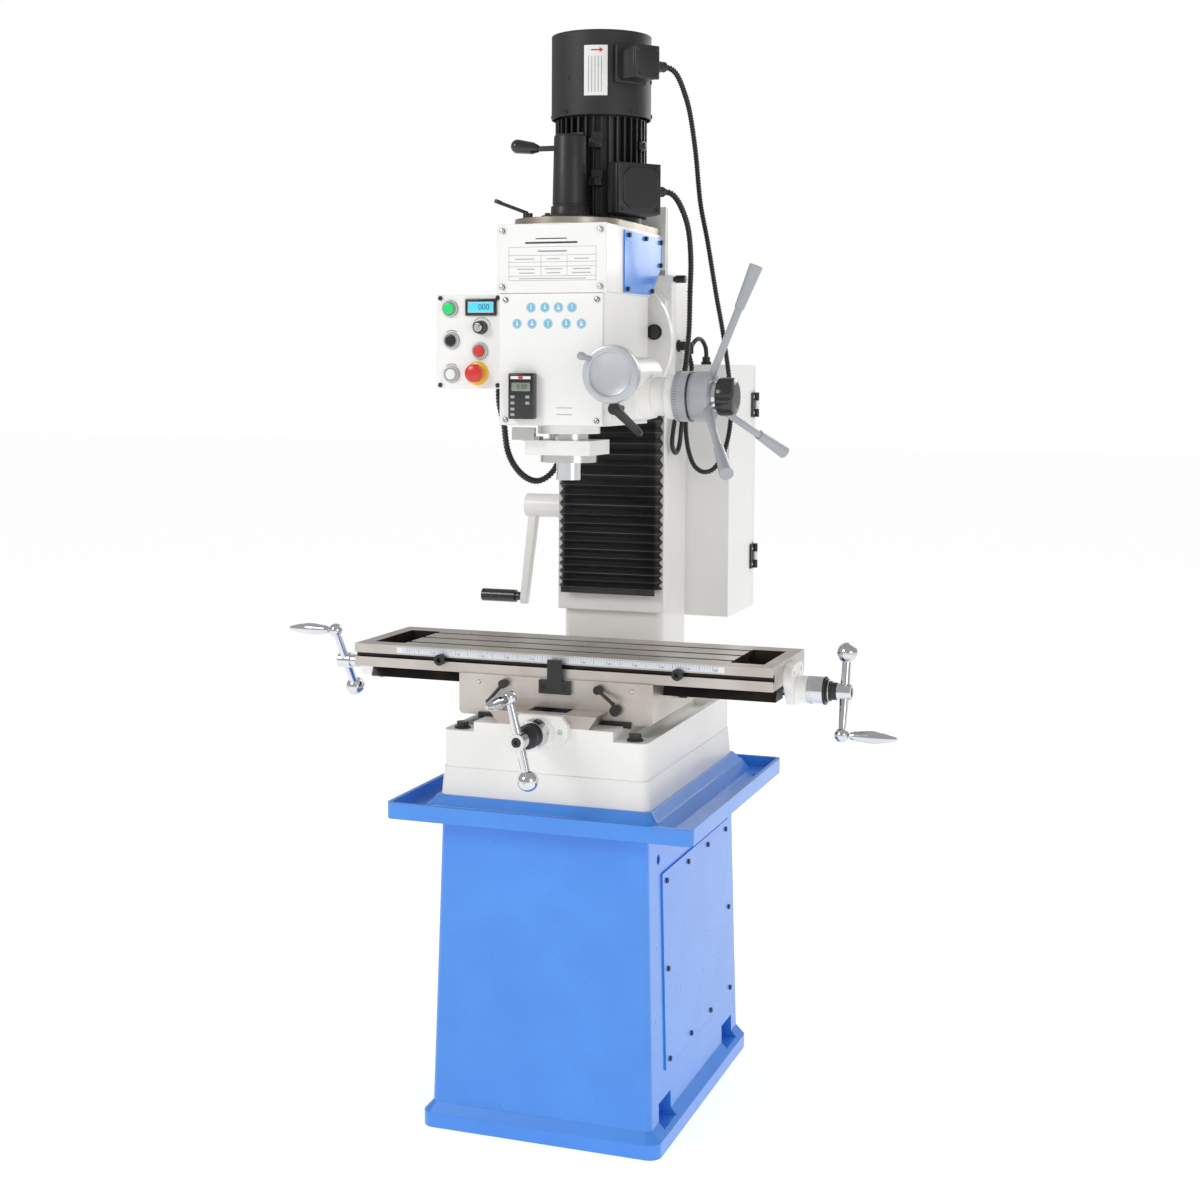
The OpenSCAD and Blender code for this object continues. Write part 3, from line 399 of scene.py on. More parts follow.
@dataclass(frozen=True)
class Zone:
    """Two finishes on one piece, such as enamel and ground iron.

    The zones are boxes in millimetres; inside them the second finish shows.
    """

    name: str
    slot: str
    outside: Finish
    inside: Finish
    boxes: tuple[tuple[tuple[float, float, float], tuple[float, float, float]], ...]

    def build(self) -> bpy.types.Material:
        """Builds a material whose colour, metal and roughness change at the zone's faces."""
        material = self.outside.build()
        material.name = self.name
        tree = material.node_tree
        shader = tree.nodes["Principled BSDF"]
        mask = self.mask(tree)
        painted = shader.inputs["Base Color"].links[0].from_socket
        cloud = self.inside.noise(tree, tree.nodes["Texture Coordinate"].outputs["Object"], 14.0, 3.0)
        bare = self.inside.blend(tree, cloud, self.inside.colour, self.inside.drift)
        mix = tree.nodes.new("ShaderNodeMix")
        mix.data_type = "RGBA"
        tree.links.new(mask, mix.inputs["Factor"])
        tree.links.new(painted, mix.inputs["A"])
        tree.links.new(bare, mix.inputs["B"])
        tree.links.new(mix.outputs["Result"], shader.inputs["Base Color"])
        metal = tree.nodes.new("ShaderNodeMapRange")
        metal.inputs["To Min"].default_value = self.outside.metallic
        metal.inputs["To Max"].default_value = self.inside.metallic
        tree.links.new(mask, metal.inputs["Value"])
        tree.links.new(metal.outputs["Result"], shader.inputs["Metallic"])
        return material

    def mask(self, tree: bpy.types.NodeTree) -> bpy.types.NodeSocket:
        """Returns a factor that is 1 inside any of the boxes and 0 outside them."""
        result = None
        for low, high in self.boxes:
            inside = self.box_mask(tree, low, high)
            if result is None:
                result = inside
                continue
            either = tree.nodes.new("ShaderNodeMath")
            either.operation = "MAXIMUM"
            tree.links.new(result, either.inputs[0])
            tree.links.new(inside, either.inputs[1])
            result = either.outputs["Value"]
        return result

    @staticmethod
    def box_mask(tree: bpy.types.NodeTree, low: Point, high: Point) -> bpy.types.NodeSocket:
        """Returns a factor that is 1 inside one box."""
        middle = [(a + b) / 2 * MM for a, b in zip(low, high)]
        half = [(b - a) / 2 * MM for a, b in zip(low, high)]
        place = tree.nodes["Texture Coordinate"].outputs["Object"]
        shift = tree.nodes.new("ShaderNodeVectorMath")
        shift.operation = "SUBTRACT"
        shift.inputs[1].default_value = middle
        tree.links.new(place, shift.inputs[0])
        size = tree.nodes.new("ShaderNodeVectorMath")
        size.operation = "ABSOLUTE"
        tree.links.new(shift.outputs["Vector"], size.inputs[0])
        split = tree.nodes.new("ShaderNodeSeparateXYZ")
        tree.links.new(size.outputs["Vector"], split.inputs["Vector"])
        result = None
        for label, limit in zip("XYZ", half):
            test = tree.nodes.new("ShaderNodeMath")
            test.operation = "LESS_THAN"
            test.inputs[1].default_value = limit
            tree.links.new(split.outputs[label], test.inputs[0])
            if result is None:
                result = test.outputs["Value"]
                continue
            both = tree.nodes.new("ShaderNodeMath")
            both.operation = "MULTIPLY"
            tree.links.new(result, both.inputs[0])
            tree.links.new(test.outputs["Value"], both.inputs[1])
            result = both.outputs["Value"]
        return result


BLUE = Finish("blue_enamel", "blue_paint", (0.050, 0.255, 0.800), (0.058, 0.285, 0.850), (0.24, 0.36),
    coat=0.35, fine=500, bump=0.03, edge=2.5, worn=0.10)
CREAM = Finish("cream_enamel", "cream_paint", (0.86, 0.85, 0.815), (0.90, 0.89, 0.86), (0.28, 0.42),
    coat=0.25, fine=420, bump=0.05, edge=2.5, worn=0.05)
WHITE_SHEET = Finish("white_sheet_paint", "cream_paint", (0.88, 0.875, 0.85), (0.90, 0.895, 0.875),
    (0.34, 0.44), coat=0.1, fine=1500, bump=0.05, edge=1.5)
IRON = Finish("ground_iron", "ground_iron", (0.52, 0.475, 0.43), (0.64, 0.60, 0.56), (0.28, 0.48), 0.75,
    Grain.ALONG_X, 1400, 0.10, edge=0.6, worn=0.5)
IRON_Y = Finish("planed_iron", "ground_iron", (0.44, 0.39, 0.35), (0.56, 0.51, 0.47), (0.30, 0.50), 0.75,
    Grain.ALONG_Y, 1400, 0.10, edge=0.6, worn=0.5)
LID_STEEL = Finish("oiled_lid", "ground_iron", (0.30, 0.25, 0.20), (0.44, 0.38, 0.31), (0.25, 0.45), 0.8,
    Grain.TURNED_Z, 900, 0.08, edge=0.6)
STEEL = Finish("turned_steel", "bare_steel", (0.60, 0.59, 0.57), (0.70, 0.69, 0.67), (0.16, 0.32), 0.95,
    Grain.TURNED_Z, 1800, 0.08, edge=0.8, worn=0.3)
CHROME = Finish("polished_chrome", "chrome", (0.62, 0.63, 0.65), (0.70, 0.71, 0.73), (0.05, 0.14), 1.0,
    Grain.MOULDED, 300, 0.015, edge=1.0)
MOTOR = Finish("motor_enamel", "motor_paint", (0.009, 0.009, 0.010), (0.016, 0.015, 0.016), (0.36, 0.52),
    coat=0.1, grain=Grain.CAST, fine=650, bump=0.14, edge=1.8, worn=0.25)
COWL = Finish("cowl_powder", "motor_paint", (0.013, 0.012, 0.013), (0.019, 0.018, 0.019), (0.46, 0.60),
    grain=Grain.CAST, fine=1300, bump=0.16, edge=2.5, worn=0.2)
OXIDE = Finish("black_oxide", "black_oxide", (0.022, 0.022, 0.025), (0.045, 0.043, 0.042), (0.28, 0.48),
    0.35, Grain.CAST, 1200, 0.06, edge=0.6, worn=0.5)
PLASTIC = Finish("black_plastic", "black_plastic", (0.012, 0.012, 0.013), (0.020, 0.020, 0.021),
    (0.16, 0.28), coat=0.3, grain=Grain.MOULDED, fine=1600, bump=0.02, edge=1.0)
RUBBER = Finish("black_conduit", "black_rubber", (0.010, 0.010, 0.011), (0.020, 0.020, 0.021), (0.30, 0.46),
    grain=Grain.MOULDED, fine=1500, bump=0.06, edge=0.3)
CLOTH = Finish("coated_cloth", "cover_cloth", (0.006, 0.006, 0.007), (0.014, 0.014, 0.015), (0.30, 0.46),
    grain=Grain.MOULDED, fine=1700, bump=0.10, edge=0.3)
GREY = Finish("grey_plastic", "grey_plastic", (0.34, 0.36, 0.39), (0.40, 0.42, 0.45), (0.26, 0.40),
    coat=0.2, grain=Grain.MOULDED, fine=900, bump=0.05, edge=1.5)
PALE_GREY = Finish("satin_grey", "grey_plastic", (0.48, 0.50, 0.53), (0.54, 0.56, 0.59), (0.26, 0.38), 0.25,
    Grain.MOULDED, 1200, 0.04, coat=0.2, edge=1.5)
GREEN = Finish("green_lens", "green_plastic", (0.010, 0.55, 0.13), (0.03, 0.70, 0.22), (0.10, 0.18),
    coat=0.6, fine=700, bump=0.02, edge=1.0, glow=0.35)
RED = Finish("red_plastic", "red_plastic", (0.62, 0.025, 0.015), (0.72, 0.045, 0.030), (0.22, 0.32),
    coat=0.3, fine=900, bump=0.03, edge=1.0)
YELLOW = Finish("yellow_ring", "red_plastic", (0.85, 0.48, 0.02), (0.90, 0.55, 0.04), (0.25, 0.36),
    coat=0.2, fine=900, bump=0.02, edge=0.6)
WHITE = Finish("white_plastic", "white_plastic", (0.80, 0.80, 0.78), (0.86, 0.86, 0.84), (0.22, 0.34),
    coat=0.2, fine=900, bump=0.02, edge=1.0)
ALLOY = Finish("etched_rule", "aluminium", (0.66, 0.70, 0.76), (0.74, 0.77, 0.82), (0.26, 0.40), 0.55,
    Grain.ALONG_X, 1600, 0.03, edge=0.3)
INK = Finish("black_ink", "black_oxide", (0.03, 0.03, 0.035), (0.05, 0.05, 0.055), (0.40, 0.55), fine=1200,
    bump=0.01, edge=0.1)
FAINT_INK = Finish("grey_ink", "black_oxide", (0.30, 0.31, 0.33), (0.38, 0.39, 0.41), (0.40, 0.55),
    fine=1200, bump=0.01, edge=0.1)
SKY_INK = Finish("sky_blue_ink", "blue_paint", (0.16, 0.50, 0.72), (0.20, 0.55, 0.76), (0.40, 0.50),
    fine=1200, bump=0.01, edge=0.1)
LCD = Finish("blue_display", "display", (0.05, 0.50, 0.75), (0.08, 0.58, 0.82), (0.08, 0.14), coat=0.4,
    fine=400, bump=0.01, edge=0.2, glow=0.5)
GREY_LCD = Finish("grey_display", "display", (0.22, 0.27, 0.22), (0.26, 0.31, 0.26), (0.10, 0.16), coat=0.4,
    fine=400, bump=0.01, edge=0.2)

# Near-black finish for the table's end troughs, front slot, T-slots and underside: partly the oil in them and
# partly painted shade.
OIL_AND_SHADE = Finish("oil_and_painted_shade", "ground_iron", (0.012, 0.010, 0.009), (0.045, 0.036, 0.030), (0.30, 0.50),
    0.3,
               Grain.ALONG_X, 1200, 0.05, edge=0.4)
HEAD_ZONES = Zone("head_enamel_and_lid", "cream_paint", CREAM, LID_STEEL,
    (((-120, -300, 1667.3), (120, 100, 1690)),))
QUILL_ZONES = Zone("quill_steel_and_clamp", "bare_steel", STEEL, WHITE,
    (((-90, -260, 1249.2), (90, -70, 1276.2)),))
BASE_ZONES = Zone("base_enamel_and_ways", "cream_paint", CREAM, IRON_Y,
    (((-120, -300, 762.2), (120, 90, 840)),))
WAY_ZONES = Zone("enamel_and_column_ways", "cream_paint", CREAM, IRON,
    (((-109.5, -400, 975), (109.5, 400, 1600)),))
# Inside these boxes (end troughs, front slot, T-slots, underside) the table shows oil and painted shade.
TABLE_ZONES = Zone("ground_table_and_shaded_oily_slots", "ground_iron", IRON, OIL_AND_SHADE, (
    ((320.4, -184.6, 854.4), (385.6, -17.4, 882.4)), ((-385.6, -184.6, 854.4), (-320.4, -17.4, 882.4)),
    ((-412, -217.4, 854.6), (412, -207.4, 869.4)), ((-322.6, -175, 859), (322.6, -21, 881.5)),
    ((-412, -217.4, 780), (412, 21.4, 840.3))))

NODE_FINISH: dict[str, object] = {
    "stand": BLUE, "chip_tray": BLUE, "access_panel": BLUE, "base_hardware": OXIDE,
        "base_casting": BASE_ZONES,
    "y_flange": CREAM, "column": CREAM, "column_ways": WAY_ZONES, "bellows": CLOTH, "e_box": WHITE_SHEET,
    "e_box_door": WHITE_SHEET, "fan_conduit": RUBBER, "motor_conduit": RUBBER, "signal_cable": RUBBER,
    "panel_conduit": RUBBER, "y_handle": CHROME, "y_grip": CHROME, "z_crank": CREAM, "z_grip": PLASTIC,
    "saddle": IRON, "pointer_block": OXIDE, "table_lock_left": OXIDE, "table_lock_right": OXIDE,
    "gib_knob": OXIDE, "scale_reader": PLASTIC, "table": TABLE_ZONES, "rule_strip": ALLOY,
        "end_brackets": CREAM,
    "stop_left": OXIDE, "stop_right": OXIDE, "x_handle_right": CHROME, "x_grip_right": CHROME,
    "x_handle_left": CHROME, "x_grip_left": CHROME, "carriage": CREAM, "z_lock": OXIDE,
        "head_body": HEAD_ZONES,
    "side_cover": BLUE, "head_plates": WHITE_SHEET, "head_hardware": OXIDE, "drawbar_cap": MOTOR,
    "gear_lever": OXIDE, "spindle_lock": PLASTIC, "motor_body": MOTOR, "fan_cowl": COWL,
        "terminal_boxes": MOTOR,
    "control_box": WHITE_SHEET, "start_button": GREEN, "forward_button": PLASTIC, "stop_button": RED,
    "reverse_button": WHITE, "estop": RED, "speed_knob": PLASTIC, "quill_readout": PLASTIC,
    "fine_wheel": PALE_GREY, "quill_lock": OXIDE, "capstan": GREY, "clutch_knob": PLASTIC,
    "quill": QUILL_ZONES, "spindle": CHROME,
}


class Paintshop:
    """Builds each finish once and dresses pieces and CAD nodes in it."""

    def __init__(self) -> None:
        """Starts with no material built."""
        self.built: dict[str, bpy.types.Material] = {}
        self.slots = {m["slot"] for m in frame["record"]["materials"]}

    def material(self, finish: object) -> bpy.types.Material:
        """Returns the finish's material, built at its first use."""
        if finish.name not in self.built:
            self.built[finish.name] = finish.build()
        return self.built[finish.name]

    def dress_node(self, node: str, finish: object) -> None:
        """Gives a CAD node its finish."""
        obj = frame["nodes"][node]
        obj.data.materials.clear()
        obj.data.materials.append(self.material(finish))

    def place(self, obj: bpy.types.Object, body: Optional[str], finish: object,
        *nodes: str) -> bpy.types.Object:
        """Dresses a new piece and puts it on its body.

        Args:
            obj: the piece, finished and in place.
            body: the CAD body it rides on, or None for a piece that rides on no body.
            finish: its finish.
            nodes: CAD nodes that it stands for.

        Returns:
            The piece.
        """
        obj.data.materials.clear()
        obj.data.materials.append(self.material(finish))
        if body is not None:
            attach(obj, body)
        if nodes:
            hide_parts(*nodes)
        log.info("%s on %s", obj.name, body)
        return obj


# ---------------------------------------------------------------- camera, floor and light
@dataclass
class Studio:
    """Camera, pale floor and soft lamps."""

    azimuth: float = 19.41
    elevation: float = 3.722
    roll: float = 0.313
    distance: float = 3.5319
    target: tuple[float, float, float] = (0.0051, 0.028, 1.1721)
    lens: float = 54.32
    shift: tuple[float, float] = (-0.00295, -0.0917)
    floor_size: float = 60.0
    surround: float = 0.47
    floor_glow: float = 0.56
    lamp_rows: tuple = (
        ("key", (-2.2, -3.0, 3.2), 48.0, 1.4),
        ("fill", (3.0, -2.2, 1.8), 20.0, 1.8),
        ("back", (1.2, 3.0, 2.6), 30.0, 1.8),
    )

    def build(self, shop: Paintshop) -> None:
        """Makes the camera first, then the floor and the lamps."""
        self.camera()
        self.floor()
        self.lamps()

    def camera(self) -> None:
        """Adds the camera that looks at the machine from the front right."""
        azimuth, elevation = math.radians(self.azimuth), math.radians(self.elevation)
        back = Vector((math.sin(azimuth) * math.cos(elevation), -math.cos(azimuth) * math.cos(elevation),
                       math.sin(elevation)))
        right = Vector((math.cos(azimuth), math.sin(azimuth), 0.0))
        up = back.cross(right)
        turn = Matrix.Rotation(math.radians(self.roll), 3, back)
        right, up = turn @ right, turn @ up
        data = bpy.data.cameras.new("camera")
        data.lens = self.lens
        data.sensor_width = 36.0
        data.shift_x, data.shift_y = self.shift
        data.clip_end = 200.0
        camera = bpy.data.objects.new("camera", data)
        bpy.context.scene.collection.objects.link(camera)
        spin = Matrix((right, up, back)).transposed().to_4x4()
        camera.matrix_world = Matrix.Translation(Vector(self.target) + back * self.distance) @ spin
        bpy.context.scene.camera = camera

    def floor(self) -> None:
        """Adds a plain pale floor that glows a little, so that its far part stays white."""
        nothing_selected()
        bpy.ops.mesh.primitive_plane_add(size=self.floor_size, location=(0, 0, -0.0005))
        floor = bpy.context.object
        floor.name = "floor"
        material = bpy.data.materials.new("pale_floor")
        material.use_nodes = True
        shader = material.node_tree.nodes["Principled BSDF"]
        shader.inputs["Base Color"].default_value = (0.90, 0.90, 0.90, 1.0)
        shader.inputs["Roughness"].default_value = 0.85
        shader.inputs["Emission Color"].default_value = (1.0, 1.0, 1.0, 1.0)
        shader.inputs["Emission Strength"].default_value = self.floor_glow
        floor.data.materials.append(material)

    def lamps(self) -> None:
        """Adds a surround that is white to the camera and softer as light, and three area lamps."""
        scene = bpy.context.scene
        scene.view_settings.view_transform = "Standard"
        world = bpy.data.worlds.new("studio")
        scene.world = world
        world.use_nodes = True
        backdrop = world.node_tree.nodes["Background"]
        backdrop.inputs["Color"].default_value = (1.0, 1.0, 1.0, 1.0)
        rays = world.node_tree.nodes.new("ShaderNodeLightPath")
        strength = world.node_tree.nodes.new("ShaderNodeMapRange")
        strength.inputs["To Min"].default_value = self.surround
        strength.inputs["To Max"].default_value = 1.0
        world.node_tree.links.new(rays.outputs["Is Camera Ray"], strength.inputs["Value"])
        world.node_tree.links.new(strength.outputs["Result"], backdrop.inputs["Strength"])
        for name, place, power, size in self.lamp_rows:
            self.lamp(name, place, power, size)

    def lamp(self, name: str, place: Point, power: float, size: float) -> None:
        """Adds a square area lamp that shines on the head of the machine."""
        data = bpy.data.lights.new(name, "AREA")
        data.energy = power
        data.size = size
        lamp = bpy.data.objects.new(name, data)
        lamp.location = place
        lamp.rotation_euler = (Vector((0, 0, 1.1)) - Vector(place)).to_track_quat("-Z", "Y").to_euler()
        bpy.context.scene.collection.objects.link(lamp)


# ---------------------------------------------------------------- cords
@dataclass
class Cord:
    """A run of conduit or cable along a smooth route, in millimetres."""

    name: str
    diameter: float
    rib: float
    pitch: float
    route: list[tuple[float, float, float]]
    steps: int = 16

    def line(self, first: int = 0, last: Optional[int] = None) -> list[Vector]:
        """Returns evenly spaced points of the smooth curve between two route points."""
        end = len(self.route) - 1 if last is None else last
        raw = []
        for i in range(first, end):
            a, b, c, d = (Vector(self.route[min(max(k, 0), len(self.route) - 1)])
                for k in (i - 1, i, i + 1, i + 2))
            for k in range(self.steps):
                t = k / self.steps
                raw.append(0.5 * (2 * b + t * (c - a) + t * t * (2 * a - 5 * b + 4 * c - d)
                                  + t ** 3 * (3 * b - a - 3 * c + d)))
        raw.append(Vector(self.route[end]))
        return [p * MM for p in self.even(raw, self.pitch / 4 if self.rib else 3.0)]

    @staticmethod
    def even(raw: list[Vector], step: float) -> list[Vector]:
        """Spaces the points of a line evenly.

        Args:
            raw: points along the line.
            step: wanted distance between points, in the units of the line.

        Returns:
            The same line with evenly spaced points.
        """
        total = sum((b - a).length for a, b in zip(raw, raw[1:]))
        count = max(4, round(total / step))
        out, index, walked = [raw[0]], 0, 0.0
        for k in range(1, count):
            goal = total * k / count
            while walked + (raw[index + 1] - raw[index]).length < goal:
                walked += (raw[index + 1] - raw[index]).length
                index += 1
            piece = raw[index + 1] - raw[index]
            out.append(raw[index] + piece * ((goal - walked) / max(piece.length, 1e-9)))
        return out + [raw[-1]]

    def tube(self, name: str, line: list[Vector], sides: int = 14) -> bpy.types.Object:
        """Makes a closed tube with ribs along a line of points in metres."""
        radius = self.diameter / 2 * MM
        normal = (line[1] - line[0]).orthogonal().normalized()
        verts, faces = [], []
        for i, centre in enumerate(line):
            ahead = (line[min(i + 1, len(line) - 1)] - line[max(i - 1, 0)]).normalized()
            normal = (normal - ahead * normal.dot(ahead)).normalized()
            side = ahead.cross(normal)
            swell = radius - self.rib * MM * (0.0, 0.5, 1.0, 0.5)[i % 4]
            for k in range(sides):
                angle = 2 * math.pi * k / sides
                verts.append(centre + swell * (math.cos(angle) * normal + math.sin(angle) * side))
        for i in range(len(line) - 1):
            for k in range(sides):
                m = (k + 1) % sides
                faces.append((i * sides + k, i * sides + m, (i + 1) * sides + m, (i + 1) * sides + k))
        faces.append(tuple(range(sides - 1, -1, -1)))
        faces.append(tuple(range((len(line) - 1) * sides, len(line) * sides)))
        mesh = bpy.data.meshes.new(name)
        mesh.from_pydata(verts, [], faces)
        obj = bpy.data.objects.new(name, mesh)
        bpy.context.scene.collection.objects.link(obj)
        return soften(obj, 0.0)


@dataclass
class Wiring:
    """The four free runs: fan and motor conduits, signal cable and control panel conduit."""

    fan: Cord = field(default_factory=lambda: Cord("fan_conduit", 11.0, 1.6, 5.4, [
        (154, -63, 1964), (162, -52, 1962), (169, -36, 1952), (174, -12, 1928), (177, 20, 1890),
        (177, 60, 1820), (176, 98, 1730), (184, 124, 1655), (193, 156, 1555), (202, 175, 1482),
        (210, 192, 1400), (213, 200, 1345), (210, 204, 1291), (198, 206, 1243), (178, 206, 1210),
        (156, 205, 1202), (137, 204, 1214), (126, 203, 1240), (120, 203, 1270), (118, 203, 1305),
        (120, 202, 1346), (128, 200, 1386), (132, 196, 1412), (130, 192, 1428), (128, 190, 1439)]))
    motor: Cord = field(default_factory=lambda: Cord("motor_conduit", 12.0, 1.8, 6.0, [
        (144, -38, 1738), (151, -29, 1738), (159, -18, 1732), (166, 0, 1715), (170, 28, 1686),
        (169, 52, 1654), (164, 78, 1608), (156, 100, 1558), (149, 120, 1490), (142, 131, 1446),
        (136, 139, 1414), (130, 146, 1392), (126, 150, 1378)]))
    signal: Cord = field(default_factory=lambda: Cord("signal_cable", 9.0, 0.0, 3.0, [
        (133, 296, 1434), (133, 296, 1442), (132, 293, 1454), (129, 280, 1467), (125, 262, 1470),
        (121, 241, 1460), (119, 222, 1440), (117, 206, 1410), (115, 196, 1385), (114, 182, 1358),
        (113, 160, 1330), (114, 136, 1295), (115, 122, 1265), (116, 127, 1249), (117, 140, 1242),
        (118, 153, 1249), (120, 159, 1265), (122, 162, 1295), (124, 168, 1330), (125, 176, 1358),
        (125, 178, 1374)]))
    panel: Cord = field(default_factory=lambda: Cord("panel_conduit", 13.0, 1.9, 6.2, [
        (-130, -178, 1370), (-130, -178, 1358), (-128, -178, 1338), (-120, -176, 1301),
        (-119, -172, 1280), (-118, -164, 1255), (-114, -150, 1232), (-107, -130, 1212),
        (-98, -110, 1199), (-87, -92, 1194), (-75, -80, 1199), (-64, -73, 1210), (-56, -69, 1224),
        (-48, -66, 1250), (-45, -65, 1276), (-45, -65, 1286), (-45, -65, 1294)]))
    fan_split: int = 10
    motor_split: int = 7

    def build(self, shop: Paintshop) -> None:
        """Makes each run; the two that cross two joints are made of two lengths each."""
        self.run(shop, self.fan, "fan_conduit_upper", self.fan.line(0, self.fan_split), "fan_conduit",
                 ("carriage", "head", (0, 0, 1.42), (0, 0, 1.92)))
        self.run(shop, self.fan, "fan_conduit_lower", self.fan.line(self.fan_split), None,
                 ("root", "carriage", (0.136, 0, 0), (0.205, 0, 0)))
        self.run(shop, self.motor, "motor_conduit_upper", self.motor.line(0, self.motor_split),
            "motor_conduit",
                 ("carriage", "head", (0, 0, 1.57), (0, 0, 1.715)))
        self.run(shop, self.motor, "motor_conduit_lower", self.motor.line(self.motor_split), None,
                 ("root", "carriage", (0, 0.146, 0), (0, 0.106, 0)))
        self.run(shop, self.signal, "signal_cable_loop", self.signal.line(), "signal_cable", "root")
        self.run(shop, self.panel, "panel_conduit_loop", self.panel.line(), "panel_conduit", "head")

    @staticmethod
    def run(shop: Paintshop, cord: Cord, name: str, line: list[Vector], node: Optional[str],
        carried: object) -> None:
        """Args:
            shop: dresses the piece.
            cord: the cord it is a length of.
            name: name of the piece.
            line: its centre line, in metres.
            node: the CAD node it stands for, if any.
            carried: a body, or for a length across a joint the two bodies and two points, which are not read;
                such a length rides on no body.
        """
        obj = cord.tube(name, line)
        shop.place(obj, carried if isinstance(carried, str) else None, RUBBER, *([node] if node else []))
        if not isinstance(carried, str):
            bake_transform(obj)


# ---------------------------------------------------------------- folded way cover
@dataclass
class WayCover:
    """The folded cover of the column ways, closer folded at its foot."""

    folds: int = 19
    bottom: float = 975.0
    top: float = 1330.0
    spread: float = 1.62
    hem: float = 0.7
    ridge_y: float = 64.0
    valley_y: float = 73.5
    half_width: float = 101.0

    def build(self, shop: Paintshop) -> None:
        """Makes the cover, marks its fold edges for the painted highlight and adds the clamps at its foot."""
        obj = self.cover()
        shop.place(obj, None, CLOTH, "bellows")
        self.paint_fold_highlight(obj)
        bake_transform(obj)
        self.clamps(shop)

    def heights(self) -> list[float]:
        """Returns the height of each fold edge, from the foot upwards."""
        steps = [1 + (self.spread - 1) * i / (self.folds - 1) for i in range(self.folds)]
        scale = (self.top - self.bottom) / sum(steps)
        out = [self.bottom]
        for step in steps:
            out.append(out[-1] + step * scale)
        return out

    def ring(self, depth: float, z: float, sag: float) -> list[Vector]:
        """Returns one horizontal line round the front of the cover.

        Args:
            depth: 0 at a fold's outer edge and 1 at its inner edge.
            z: height, in millimetres.
            sag: how far the middle hangs down.

        Returns:
            Points from the left rear edge to the right rear edge, in metres.
        """
        width = self.half_width - 7.0 * depth
        front = self.ridge_y + (self.valley_y - self.ridge_y) * depth
        half = [(width + 8, 85.6), (width + 2, 76.0), (width - 0.5, front + 3.5), (width - 5, front),
            (width * 0.6, front - 0.5),
                (width * 0.3, front - 0.9)]
        right = [Vector((x, y, z - sag * (1 - (x / width) ** 2) if x < width else z)) for x, y in half]
        left = [Vector((-p.x, p.y, p.z)) for p in right]
        return [p * MM for p in left + [Vector((0, front - 1.0, z - sag))] + right[::-1]]

    def cover(self) -> bpy.types.Object:
        """Makes the folded sheet with its thickness."""
        levels = self.heights()
        rings, shine = [], []
        for i, (low, high) in enumerate(zip(levels, levels[1:])):
            sag = 0.5 * math.sin(i * 2.3)
            middle = (low + high) / 2
            rings += [self.ring(0.0, low, sag), self.ring(0.07, low + self.hem, sag),
                      self.ring(0.94, middle - 1.0, sag), self.ring(1.0, middle, sag),
                      self.ring(0.94, middle + 1.0, sag), self.ring(0.07, high - self.hem, sag)]
            # weights of the painted highlight on the fold edges, one for each ring
            shine += [1.0, 0.15, 0.0, 0.0, 0.0, 0.15]
        rings.append(self.ring(0.0, levels[-1], 0.0))
        shine.append(1.0)
        size = len(rings[0])
        faces = [(i * size + k, i * size + k + 1, (i + 1) * size + k + 1, (i + 1) * size + k)
                 for i in range(len(rings) - 1) for k in range(size - 1)]
        mesh = bpy.data.meshes.new("way_cover")
        mesh.from_pydata([p for ring in rings for p in ring], [], faces)
        mark = mesh.attributes.new("fold_highlight", "FLOAT", "POINT")
        mark.data.foreach_set("value", [s for s in shine for _ in range(size)])
        obj = bpy.data.objects.new("way_cover", mesh)
        bpy.context.scene.collection.objects.link(obj)
        wall = obj.modifiers.new("wall", "SOLIDIFY")
        wall.thickness = 0.9 * MM
        wall.offset = -1.0
        pick(obj)
        bpy.ops.object.modifier_apply(modifier=wall.name)
        return soften(obj, 0.0)

    @staticmethod
    def paint_fold_highlight(obj: bpy.types.Object) -> None:
        """Paints a highlight on the fold edges as a thin grey line in the base colour."""
        material = obj.data.materials[0]
        tree = material.node_tree
        shader = tree.nodes["Principled BSDF"]
        colour = shader.inputs["Base Color"].links[0].from_socket
        mark = tree.nodes.new("ShaderNodeAttribute")
        mark.attribute_name = "fold_highlight"
        mix = tree.nodes.new("ShaderNodeMix")
        mix.data_type = "RGBA"
        # painted highlight: grey mixed into the nearly black cloth along the fold edges
        mix.inputs["B"].default_value = (0.16, 0.16, 0.17, 1.0)
        power = tree.nodes.new("ShaderNodeMath")
        power.operation = "POWER"
        power.inputs[1].default_value = 2.0
        tree.links.new(mark.outputs["Fac"], power.inputs[0])
        tree.links.new(power.outputs["Value"], mix.inputs["Factor"])
        tree.links.new(colour, mix.inputs["A"])
        tree.links.new(mix.outputs["Result"], shader.inputs["Base Color"])

    def clamps(self, shop: Paintshop) -> None:
        """Adds the strip and screws that hold the cover's foot."""
        strip = block("cover_clamp", (-98, 66, self.bottom - 12), (98, 69, self.bottom - 1), 0.6)
        shop.place(strip, "root", OXIDE)
        screw = turned("cover_screw", (-84, 66.5, self.bottom - 6.5), (0, -1, 0),
                       [(0, -1), (4, -1), (4, 1.2), (3, 2.4), (1.6, 2.6), (1.6, 1.4), (0, 1.4)], 24)
        screws = joined("cover_screws", [screw, moved_copy(screw, Matrix.Translation((0.150, 0, 0)))])
        shop.place(screws, "root", OXIDE)


